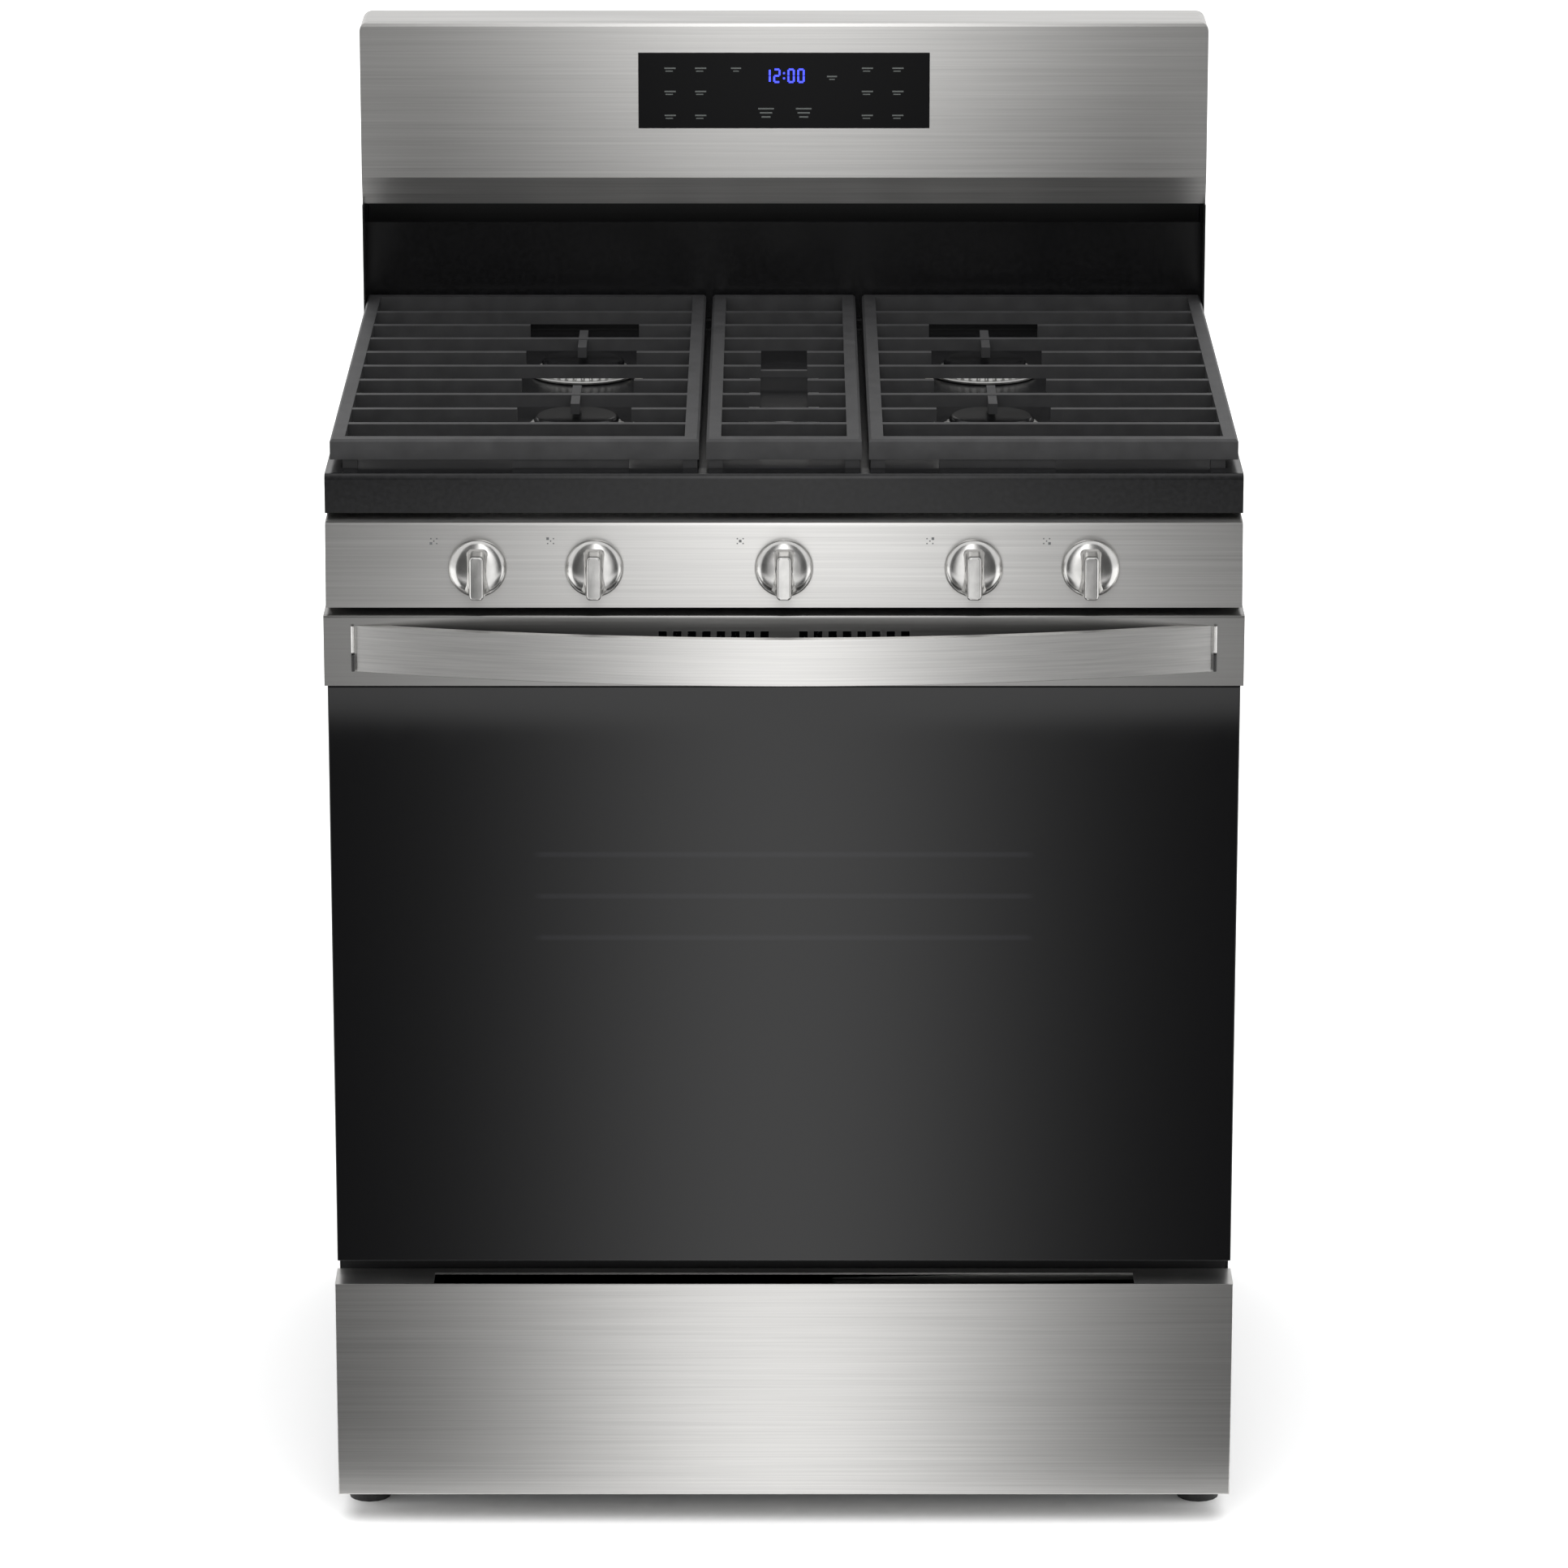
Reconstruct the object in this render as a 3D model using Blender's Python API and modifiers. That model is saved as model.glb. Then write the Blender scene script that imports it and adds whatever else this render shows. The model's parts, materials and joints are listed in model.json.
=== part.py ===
"""Freestanding gas range: five burners, a drop-down oven door, a storage drawer and a rear console.

Metres, +X to the viewer's right, -Y to the front, +Z up, origin on the floor under the middle.
Depths named *_D run back from the face of the door, and at() turns them into Y.
"""

import math

import bmesh
import bpy
from mathutils import Matrix, Vector

# Overall sizes
WIDTH = 0.759                 # drawer front and door trim, the widest pieces
CABINET_WIDTH = 0.756
BODY_DEPTH = 0.687            # door face to the rear covers
HANDLE_REACH = 0.048

# Heights, from the floor up
DRAWER_BOTTOM = 0.0265
DRAWER_HEIGHT = 0.190
DOOR_GAP = 0.0205
GLASS_HEIGHT = 0.502
TRIM_HEIGHT = 0.0605
PANEL_GAP = 0.0055
PANEL_HEIGHT = 0.0705
LIP_GAP = 0.0055
LIP_HEIGHT = 0.033
DECK_SINK = 0.009
GRATE_RISE = 0.024
CONSOLE_HEIGHT = 0.165
VENT_HEIGHT = 0.0235
RISER_HEIGHT = 0.088

DRAWER_TOP = DRAWER_BOTTOM + DRAWER_HEIGHT
DOOR_BOTTOM = DRAWER_TOP + DOOR_GAP
GLASS_TOP = DOOR_BOTTOM + GLASS_HEIGHT
DOOR_TOP = GLASS_TOP + TRIM_HEIGHT
PANEL_BOTTOM = DOOR_TOP + PANEL_GAP
PANEL_TOP = PANEL_BOTTOM + PANEL_HEIGHT
LIP_BOTTOM = PANEL_TOP + LIP_GAP
RIM = LIP_BOTTOM + LIP_HEIGHT
DECK = RIM - DECK_SINK
GRATE_TOP = RIM + GRATE_RISE
RISER_TOP = RIM + RISER_HEIGHT
CONSOLE_BOTTOM = RISER_TOP + VENT_HEIGHT
CONSOLE_TOP = CONSOLE_BOTTOM + CONSOLE_HEIGHT

# Clearances and sheet
GAP = 0.0003                  # between pieces that touch
SHEET = 0.0015
SIDE_SHEET = 0.0012
SIDE_FLANGE = 0.012
LINER_SHEET = 0.0012

# Door
DOOR_THICKNESS = 0.041
GLASS_THICKNESS = 0.004
GASKET_DIAMETER = 0.008
GASKET_RUN = 0.013            # cavity's edge out to the gasket's line, sides and top
GASKET_LOW_RUN = 0.0085       # the same below, clear of the opening door's lower edge
GASKET_BEND = 0.030
WINDOW_HALF = 0.195
WINDOW_BOTTOM_RISE = 0.163    # above the bottom of the door
WINDOW_HEIGHT = 0.225
WINDOW_REBATE = 0.010
WINDOW_PANE = 0.004
HINGE_D = 0.025
HINGE_RISE = 0.008            # pin above the bottom of the door
PIN_RADIUS = 0.003
EYE_RADIUS = 0.0085
ARM_THICKNESS = 0.004
ARM_INSET = 0.041             # cabinet side to the middle of a hinge arm
HINGE_BLOCK_HALF = 0.010
ARM_PLATE = 0.0023
SLOT_PITCH = 0.012
SLOT_WIDTH = 0.007
SLOT_HEIGHT = 0.008
SLOT_COUNT = 8                # in each of two groups
SLOT_FIRST_X = 0.016
SLOT_DROP = 0.0135            # below the top of the door to the slots' top

# Handle
HANDLE_INSET = 0.024          # cabinet side to the end of the handle
HANDLE_TALL = 0.0395
HANDLE_THICK = 0.008
HANDLE_PAD = 0.030
HANDLE_RISE = 0.0125          # above the bottom of the trim
HANDLE_STEPS = 20

# Oven
FRAME_D = DOOR_THICKNESS + GASKET_DIAMETER + 2 * GAP
FRAME_THICKNESS = 0.012
FRAME_FLANGE = 0.003          # thickness of the turned-back edge around the oven's mouth
FRAME_DROP = 0.0090           # frame below the top of the drawer front
CAVITY_SIDE = 0.073           # cabinet side to cavity wall
CAVITY_RISE = 0.025           # above the bottom of the door
CAVITY_DROP = 0.017           # below the top of the glass
CAVITY_BACK = 0.127           # cavity wall to rear cover
LEDGE_COUNT = 5
LEDGE_FIRST = 0.080
LEDGE_TOP_ROOM = 0.100        # highest ledge to the top of the cavity
LEDGE_WIDTH = 0.012
LEDGE_THICK = 0.003
FLOOR_RISE = 0.040
RACK_WIRE = 0.006
RACK_ROD = 0.0035
RACK_ROD_COUNT = 13
RACK_SIDE_GAP = 0.003
RACK_FRONT_D = 0.085
UPPER_LEDGE = 3
LOWER_LEDGE = 1
OVEN_TUBE = 0.009

# Drawer
DRAWER_FRONT_THICKNESS = 0.040
PULL_INSET = 0.082            # cabinet side to the finger opening in the drawer front
PULL_BACK_D = 0.028
DRAWER_BOX_INSET = 0.053      # cabinet side to the box
DRAWER_BOX_BOTTOM = 0.062
DRAWER_BOX_DROP = 0.028       # below the top of the drawer front
DRAWER_BOX_BACK = 0.550
RUNNER_WIDTH = 0.007
RUNNER_THICK = 0.003
RUNNER_RISE = 0.042           # above the bottom of the box
RAIL_WEB = 0.002
RAIL_TALL = 0.030
RAIL_FRONT_D = 0.080
RAIL_BACK_D = 0.560
RAIL_BRACKET = 0.020

# Base and feet
BASE_BOTTOM = 0.032
BASE_HEIGHT = 0.025
BASE_RAIL = 0.040
FOOT_RADIUS = 0.018
FOOT_PAD = 0.010
FOOT_HUB_RADIUS = 0.010
FOOT_HUB = 0.004
FOOT_STEM_RADIUS = 0.005
FOOT_STEM_TOP = 0.075
STEM_CLEARANCE = 0.0005

# Control panel, valves and knobs
PANEL_BOTTOM_D = 0.004
PANEL_TOP_D = 0.012
PANEL_BACK_D = 0.0490
KNOB_X = (-0.252, -0.156, 0.0, 0.156, 0.252)
KNOB_RISE = 0.033             # above the bottom of the panel
KNOB_RADIUS = 0.024
KNOB_STANDOFF = 0.0038
KNOB_SKIRT = 0.007
KNOB_REACH = 0.032
KNOB_BLADE = 0.013
KNOB_BLADE_FLARE = 0.022
KNOB_BLADE_TOP = 0.012        # blade's front edge above the axis
STEM_RADIUS = 0.0045
STEM_TIP = 0.019
STEM_TAIL = 0.047
KNOB_BORE_DEPTH = 0.0235
VALVE_SIZE = 0.028
VALVE_LENGTH = 0.044
VALVE_FACE = 0.050            # behind the panel's face
PIPE_RADIUS = 0.008

# Cooktop and burners
COOKTOP_D = 0.020
COOKTOP_BACK_GAP = 0.0025
RIM_FRONT = 0.0225
RIM_SIDE = 0.0125
RIM_BACK_D = 0.0595           # from the rear covers to the deck's edge
BURNER_X = 0.176
FRONT_BURNER_D = 0.217
REAR_BURNER_D = 0.440
HEAD_RADIUS = 0.046
HEAD_HEIGHT = 0.0075
HEAD_STEM_RADIUS = 0.010
HEAD_STEM = 0.020
CAP_RADIUS = 0.036
CAP_HEIGHT = 0.0065
OVAL_HALF_WIDTH = 0.030
OVAL_HALF_LENGTH = 0.110
OVAL_CAP_INSET = 0.009

# Grates
GRATE_D = 0.043
GRATE_BACK = 0.062            # from the rear covers
GRATE_WALL = 0.017
GRATE_RAIL = 0.012
GRATE_BAR = 0.0075
GRATE_BAR_TALL = 0.011
GRATE_SIDE_GAP = 0.0035
CENTRE_GRATE_HALF = 0.064
GRATE_SPACING = 0.006
BARS_PER_BURNER_GAP = 4
OPENING_HALF = 0.048
CENTRE_OPENING_HALF = 0.020
FINGER_HALF = 0.036
FOOT_BLOCK = 0.012
WIDE_FOOT_HALF = 0.048
LUG_WIDTH = 0.012
LUG_INSET = 0.040
LUG_TALL = 0.009
LUG_DROP = 0.0125             # from the top of the grate to the lug's middle
LUG_LENGTH = 0.008

# Backguard
CONSOLE_BACK_D = 0.030        # from the console's back edge to the rear covers
CONSOLE_DEPTH = 0.062
CONSOLE_HALF_INSET = 0.001
CONSOLE_CORNER = 0.008
CONSOLE_LIP_HEIGHT = 0.025
CONSOLE_LIP_DEPTH = 0.008
CONSOLE_COVER_DROP = 0.0125
RISER_SETBACK = 0.041
DISPLAY_HALF = 0.1295
DISPLAY_HEIGHT = 0.068
DISPLAY_DROP = 0.0275
DISPLAY_PROUD = 0.0005
DISPLAY_THICK = 0.0035

# Rear services
INLET_INSET = 0.043           # cabinet side to the gas inlet
INLET_Z = 0.125
INLET_RADIUS = 0.0105
REGULATOR_RADIUS = 0.025
REGULATOR_TALL = 0.060
REGULATOR_BACK = 0.062
LOUVRE_COUNT = 7
LOUVRE_HALF = 0.11
LOUVRE_TALL = 0.006
LOUVRE_PITCH = 0.014
GLAND_X = 0.250
GLAND_Z = 0.150
GLAND_RADIUS = 0.015
GLAND_BORE = 0.007

# Derived places
HALF = WIDTH / 2
CABINET_HALF = CABINET_WIDTH / 2
INNER_HALF = CABINET_HALF - SIDE_SHEET - 0.0005
FRONT = (HANDLE_REACH - BODY_DEPTH) / 2
CAVITY_HALF = CABINET_HALF - CAVITY_SIDE
CAVITY_BOTTOM = DOOR_BOTTOM + CAVITY_RISE
CAVITY_TOP = GLASS_TOP - CAVITY_DROP
LINER_D = FRAME_D + FRAME_THICKNESS + GAP
CAVITY_BACK_D = BODY_DEPTH - CAVITY_BACK
LEDGE_PITCH = (CAVITY_TOP - CAVITY_BOTTOM - LEDGE_FIRST - LEDGE_TOP_ROOM) / (LEDGE_COUNT - 1)
ARM_X = CABINET_HALF - ARM_INSET
HANDLE_HALF = CABINET_HALF - HANDLE_INSET
PULL_HALF = CABINET_HALF - PULL_INSET
DRAWER_BOX_HALF = CABINET_HALF - DRAWER_BOX_INSET
INLET_X = INLET_INSET - CABINET_HALF
HINGE_Z = DOOR_BOTTOM + HINGE_RISE
PANEL_TILT = math.atan2(PANEL_TOP_D - PANEL_BOTTOM_D, PANEL_HEIGHT)
KNOB_Z = PANEL_BOTTOM + KNOB_RISE
KNOB_D = PANEL_BOTTOM_D + KNOB_RISE * math.tan(PANEL_TILT)
BAR_PITCH = (REAR_BURNER_D - FRONT_BURNER_D) / BARS_PER_BURNER_GAP
OVAL_D = (FRONT_BURNER_D + REAR_BURNER_D) / 2
GRATE_BACK_D = BODY_DEPTH - GRATE_BACK
SIDE_GRATE_INNER = CENTRE_GRATE_HALF + GRATE_SPACING
SIDE_GRATE_OUTER = CABINET_HALF - GRATE_SIDE_GAP
CONSOLE_HALF = CABINET_HALF - CONSOLE_HALF_INSET
CONSOLE_REAR_D = BODY_DEPTH - CONSOLE_BACK_D
CONSOLE_FRONT_D = CONSOLE_REAR_D - CONSOLE_DEPTH
RISER_D = CONSOLE_FRONT_D + RISER_SETBACK
BASE_TOP = BASE_BOTTOM + BASE_HEIGHT
SHELF_TOP = DRAWER_BOX_BOTTOM + RUNNER_RISE - 0.0004
BURNER_NAMES = ("front_left", "rear_left", "center", "rear_right", "front_right")
BURNER_PLACES = ((-BURNER_X, FRONT_BURNER_D), (-BURNER_X, REAR_BURNER_D), (0.0, OVAL_D),
                 (BURNER_X, REAR_BURNER_D), (BURNER_X, FRONT_BURNER_D))

MATERIALS = {
    "stainless": ((0.56, 0.56, 0.57), 0.34, 1.0),
    "black_enamel": ((0.018, 0.018, 0.019), 0.22, 0.0),
    "painted_black": ((0.030, 0.030, 0.032), 0.45, 0.0),
    "cast_iron": ((0.045, 0.045, 0.047), 0.62, 0.0),
    "black_glass": ((0.008, 0.008, 0.009), 0.05, 0.0),
    "window_glass": ((0.020, 0.020, 0.022), 0.05, 0.0),
    "oven_enamel": ((0.035, 0.036, 0.042), 0.35, 0.0),
    "aluminium": ((0.62, 0.62, 0.62), 0.40, 1.0),
    "bright_knob": ((0.66, 0.66, 0.66), 0.28, 1.0),
    "steel": ((0.45, 0.45, 0.46), 0.35, 1.0),
    "chrome": ((0.70, 0.70, 0.71), 0.12, 1.0),
    "galvanised": ((0.42, 0.43, 0.44), 0.48, 1.0),
    "gasket": ((0.060, 0.058, 0.055), 0.90, 0.0),
    "lamp_glass": ((0.80, 0.80, 0.76), 0.10, 0.0),
    "foot_plastic": ((0.040, 0.040, 0.040), 0.55, 0.0),
}


def at(depth):
    """Y of a depth behind the face of the door."""
    return FRONT + depth


def clear_scene():
    for item in list(bpy.data.objects):
        bpy.data.objects.remove(item, do_unlink=True)


def make_collection(name):
    group = bpy.data.collections.new(name)
    bpy.context.scene.collection.children.link(group)
    return group


def make_material(name):
    colour, roughness, metallic = MATERIALS[name]
    material = bpy.data.materials.new(name)
    material.use_nodes = True
    shader = material.node_tree.nodes["Principled BSDF"]
    shader.inputs["Base Color"].default_value = (*colour, 1.0)
    shader.inputs["Roughness"].default_value = roughness
    shader.inputs["Metallic"].default_value = metallic
    return material


def add_object(name, mesh, material=None, cutter=False):
    """Link a mesh as a part, or as a hidden tool that cuts or joins one."""
    item = bpy.data.objects.new(name, mesh)
    if cutter:
        item.hide_render = True
        item.display_type = "WIRE"
        cutters.objects.link(item)
    else:
        mesh.materials.append(finishes[material])
        parts.objects.link(item)
    return item


def box_mesh(name, boxes, centre):
    """One mesh of blocks, each ((x0, x1), (d0, d1), (z0, z1)), placed about a centre."""
    bm = bmesh.new()
    for (x0, x1), (d0, d1), (z0, z1) in boxes:
        middle = Vector(((x0 + x1) / 2, at((d0 + d1) / 2), (z0 + z1) / 2)) - centre
        size = Matrix.Diagonal((x1 - x0, d1 - d0, z1 - z0, 1.0))
        bmesh.ops.create_cube(bm, size=1.0, matrix=Matrix.Translation(middle) @ size)
    mesh = bpy.data.meshes.new(name)
    bm.to_mesh(mesh)
    bm.free()
    return mesh


def block(name, xs, ds, zs, material=None, cutter=False):
    """A block between two X values, two depths and two heights, with its origin at its middle."""
    centre = Vector((sum(xs) / 2, at(sum(ds) / 2), sum(zs) / 2))
    item = add_object(name, box_mesh(name, [(xs, ds, zs)], centre), material, cutter)
    item.location = centre
    return item


def blocks_tool(name, boxes):
    """Several separate blocks as one tool, with its origin at the model's."""
    return add_object(name, box_mesh(name, boxes, Vector()), cutter=True)


def welded_mesh(name, curve_object):
    """A closed mesh from a curve object's evaluated shape."""
    graph = bpy.context.evaluated_depsgraph_get()
    mesh = bpy.data.meshes.new_from_object(curve_object.evaluated_get(graph))
    bm = bmesh.new()
    bm.from_mesh(mesh)
    bmesh.ops.remove_doubles(bm, verts=bm.verts, dist=0.00001)
    bmesh.ops.recalc_face_normals(bm, faces=bm.faces)
    bm.to_mesh(mesh)
    bm.free()
    mesh.name = name
    mesh.materials.clear()
    return mesh


def curve_piece(name, curve, matrix, material, cutter):
    """Turn a curve into a mesh part that keeps the curve's placing."""
    holder = bpy.data.objects.new(name + "_curve", curve)
    parts.objects.link(holder)
    holder.matrix_world = matrix
    bpy.context.view_layer.update()
    item = add_object(name, welded_mesh(name, holder), material, cutter)
    item.matrix_world = matrix
    bpy.data.objects.remove(holder, do_unlink=True)
    return item


def poly_curve(name, points, cyclic):
    curve = bpy.data.curves.new(name, "CURVE")
    spline = curve.splines.new("POLY")
    spline.points.add(len(points) - 1)
    for point, place in zip(spline.points, points):
        point.co = (*place, 1.0)
    spline.use_cyclic_u = cyclic
    return curve


def outline(name, points, span, along, material=None, cutter=False):
    """A flat outline given thickness: (depth, z) points along X, or (x, depth) points along Z."""
    low, high = span
    middle = (low + high) / 2
    if along == "X":
        flat = [(at(depth), z, 0.0) for depth, z in points]
        axes = Matrix(((0, 0, 1), (1, 0, 0), (0, 1, 0)))
        matrix = Matrix.Translation((middle, 0, 0)) @ axes.to_4x4()
    else:
        flat = [(x, at(depth), 0.0) for x, depth in points]
        matrix = Matrix.Translation((0, 0, middle))
    curve = poly_curve(name, flat, True)
    curve.dimensions = "2D"
    curve.fill_mode = "BOTH"
    curve.extrude = (high - low) / 2
    return curve_piece(name, curve, matrix, material, cutter)


def tube(name, points, radius, material=None, cyclic=False, cutter=False):
    """A round tube through (x, depth, z) points, with closed ends."""
    curve = poly_curve(name, [(x, at(depth), z) for x, depth, z in points], cyclic)
    curve.dimensions = "3D"
    curve.bevel_depth = radius
    curve.bevel_resolution = 2
    curve.use_fill_caps = not cyclic
    return curve_piece(name, curve, Matrix(), material, cutter)


def turned(name, profile, steps, matrix, material=None, cutter=False):
    """A turned piece: (radius, height) points, top to bottom, spun about its own Z."""
    mesh = bpy.data.meshes.new(name)
    edges = [(i, i + 1) for i in range(len(profile) - 1)]
    mesh.from_pydata([(radius, 0.0, height) for radius, height in profile], edges, [])
    item = add_object(name, mesh, material, cutter)
    spin = item.modifiers.new("Screw", "SCREW")
    spin.steps = steps
    spin.render_steps = steps
    spin.use_merge_vertices = True
    spin.merge_threshold = 0.00001
    spin.use_smooth_shade = True
    item.matrix_world = matrix
    return item


def rod_tool(name, radius, low, high, steps, matrix):
    """A cylinder between two heights on its own Z, used to cut or join."""
    return turned(name, [(0, high), (radius, high), (radius, low), (0, low)], steps, matrix, cutter=True)


def boolean(target, tool, operation):
    change = target.modifiers.new(operation.title(), "BOOLEAN")
    change.operation = operation
    change.solver = "EXACT"
    change.object = tool


def cut(target, tool):
    boolean(target, tool, "DIFFERENCE")


def join(target, tool):
    boolean(target, tool, "UNION")


def soften(item, width, chosen, segments=2):
    """Round the edges whose two ends, in world space, both pass a test."""
    bm = bmesh.new()
    bm.from_mesh(item.data)
    place = item.matrix_world if item.parent else Matrix.Translation(item.location)
    edges = [e for e in bm.edges if all(chosen(place @ v.co) for v in e.verts)]
    bmesh.ops.bevel(bm, geom=edges, offset=width, segments=segments, profile=0.5, affect="EDGES")
    bm.to_mesh(item.data)
    bm.free()


def sheet_channel(name, points, span, thickness, material):
    """A folded sheet: an open (x, z) line run from one depth to another and thickened inwards."""
    mesh = bpy.data.meshes.new(name)
    bm = bmesh.new()
    verts = [bm.verts.new((x, at(span[0]), z)) for x, z in points]
    edges = [bm.edges.new(pair) for pair in zip(verts, verts[1:])]
    swept = bmesh.ops.extrude_edge_only(bm, edges=edges)
    moved = [e for e in swept["geom"] if isinstance(e, bmesh.types.BMVert)]
    bmesh.ops.translate(bm, verts=moved, vec=(0, span[1] - span[0], 0))
    bm.to_mesh(mesh)
    bm.free()
    item = add_object(name, mesh, material)
    skin = item.modifiers.new("Solidify", "SOLIDIFY")
    skin.thickness = thickness
    skin.offset = 0.0
    skin.use_even_offset = True
    return item


def arc(centre, radius, start, end, steps):
    """Points along an arc in degrees, both ends included."""
    turn = [math.radians(start + (end - start) * i / steps) for i in range(steps + 1)]
    return [(centre[0] + radius * math.cos(a), centre[1] + radius * math.sin(a)) for a in turn]


# ---------------------------------------------------------------- cabinet

def side_panels():
    outer = CABINET_HALF - SIDE_SHEET / 2
    inner = outer - SIDE_FLANGE
    low = BASE_BOTTOM - SIDE_SHEET
    high = LIP_BOTTOM - GAP - SIDE_SHEET
    for name, side in (("side_panel_left", -1), ("side_panel_right", 1)):
        line = [(side * inner, high), (side * outer, high), (side * outer, low), (side * inner, low)]
        sheet_channel(name, line, (FRAME_D, BODY_DEPTH - SHEET - GAP), SIDE_SHEET, "painted_black")


def foot_places():
    x = INNER_HALF - BASE_RAIL / 2
    front = FRAME_D + BASE_RAIL / 2
    rear = BODY_DEPTH - SHEET - GAP - BASE_RAIL / 2
    return (("foot_front_left", -x, front), ("foot_front_right", x, front),
            ("foot_rear_left", -x, rear), ("foot_rear_right", x, rear))


def base_frame():
    front = FRAME_D
    rear = BODY_DEPTH - SHEET - GAP
    heights = (BASE_BOTTOM, BASE_TOP)
    frame = block("base_frame", (-INNER_HALF, INNER_HALF), (front, rear), heights, "galvanised")
    opening = INNER_HALF - BASE_RAIL
    cut(frame, block("base_opening", (-opening, opening), (front + BASE_RAIL, rear - BASE_RAIL),
                     (BASE_BOTTOM - 0.01, BASE_TOP + 0.01), cutter=True))
    channel = block("base_channel", (-INNER_HALF + SHEET, INNER_HALF - SHEET), (front + SHEET, rear - SHEET),
                    (BASE_BOTTOM - 0.01, BASE_TOP - SHEET), cutter=True)
    core = opening + SHEET
    cut(channel, block("base_channel_core", (-core, core),
                       (front + BASE_RAIL - SHEET, rear - BASE_RAIL + SHEET),
                       (BASE_BOTTOM - 0.02, BASE_TOP + 0.02), cutter=True))
    cut(frame, channel)
    for name, x, depth in foot_places():
        place = Matrix.Translation((x, at(depth), 0))
        cut(frame, rod_tool(name + "_hole", FOOT_STEM_RADIUS + STEM_CLEARANCE,
                            BASE_BOTTOM - 0.01, BASE_TOP + 0.01, 16, place))


def feet():
    hub = FOOT_PAD + FOOT_HUB
    profile = [(0, FOOT_STEM_TOP), (FOOT_STEM_RADIUS, FOOT_STEM_TOP), (FOOT_STEM_RADIUS, hub),
               (FOOT_HUB_RADIUS, hub), (FOOT_HUB_RADIUS, FOOT_PAD), (FOOT_RADIUS - 0.002, FOOT_PAD),
               (FOOT_RADIUS, FOOT_PAD - 0.002), (FOOT_RADIUS, 0), (0, 0)]
    for name, x, depth in foot_places():
        turned(name, profile, 16, Matrix.Translation((x, at(depth), 0)), "foot_plastic")


def rear_panel():
    half = INNER_HALF
    panel = block("rear_panel", (-half, half), (BODY_DEPTH - SHEET, BODY_DEPTH),
                  (BASE_BOTTOM, RIM), "galvanised")
    turn = Matrix.Rotation(math.radians(90), 4, "X")
    gland = Matrix.Translation((GLAND_X, at(BODY_DEPTH), GLAND_Z)) @ turn
    join(panel, rod_tool("gland_boss", GLAND_RADIUS, 0.0002, 0.010, 16, gland))
    cut(panel, rod_tool("gland_bore", GLAND_BORE, -0.010, 0.020, 16, gland))
    inlet = Matrix.Translation((INLET_X, at(BODY_DEPTH), INLET_Z)) @ turn
    cut(panel, rod_tool("inlet_hole", INLET_RADIUS + 0.003, -0.010, 0.010, 16, inlet))
    slots = []
    for side in (-1, 1):
        for row in range(LOUVRE_COUNT):
            z = GLASS_TOP - row * LOUVRE_PITCH
            middle = side * half / 2
            slots.append(((middle - LOUVRE_HALF, middle + LOUVRE_HALF),
                          (BODY_DEPTH - 0.01, BODY_DEPTH + 0.01), (z - LOUVRE_TALL, z)))
    cut(panel, blocks_tool("louvre_slots", slots))


# ---------------------------------------------------------------- oven

def oven_front_frame():
    depths = (FRAME_D, FRAME_D + FRAME_THICKNESS)
    low = DRAWER_TOP - FRAME_DROP
    frame = block("oven_front_frame", (-INNER_HALF, INNER_HALF), depths,
                  (low, PANEL_BOTTOM - 0.002), "painted_black")
    cut(frame, block("oven_mouth", (-CAVITY_HALF, CAVITY_HALF),
                     (FRAME_D - 0.01, FRAME_D + FRAME_THICKNESS + 0.01),
                     (CAVITY_BOTTOM, CAVITY_TOP), cutter=True))
    hollow = block("oven_frame_hollow", (-INNER_HALF + SHEET, INNER_HALF - SHEET),
                   (FRAME_D + SHEET, FRAME_D + FRAME_THICKNESS + 0.01),
                   (low + SHEET, PANEL_BOTTOM - 0.002 - SHEET), cutter=True)
    core = CAVITY_HALF + FRAME_FLANGE
    cut(hollow, block("oven_frame_core", (-core, core), (FRAME_D, FRAME_D + FRAME_THICKNESS + 0.02),
                      (CAVITY_BOTTOM - FRAME_FLANGE, CAVITY_TOP + FRAME_FLANGE), cutter=True))
    cut(frame, hollow)


def ledge_height(level):
    return CAVITY_BOTTOM + LEDGE_FIRST + level * LEDGE_PITCH


def oven_liner():
    outer = CAVITY_HALF + LINER_SHEET
    liner = block("oven_liner", (-outer, outer), (LINER_D, CAVITY_BACK_D + LINER_SHEET),
                  (CAVITY_BOTTOM - LINER_SHEET, CAVITY_TOP + LINER_SHEET), "oven_enamel")
    cut(liner, block("liner_cavity", (-CAVITY_HALF, CAVITY_HALF), (LINER_D - 0.01, CAVITY_BACK_D),
                     (CAVITY_BOTTOM, CAVITY_TOP), cutter=True))
    ledges = []
    for side in (-1, 1):
        near = side * (CAVITY_HALF - LEDGE_WIDTH)
        far = side * (CAVITY_HALF + LINER_SHEET / 2)
        for level in range(LEDGE_COUNT):
            top = ledge_height(level)
            ledges.append(((min(near, far), max(near, far)), (LINER_D + 0.015, CAVITY_BACK_D - 0.015),
                           (top - LEDGE_THICK, top)))
    join(liner, blocks_tool("liner_ledges", ledges))


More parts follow.
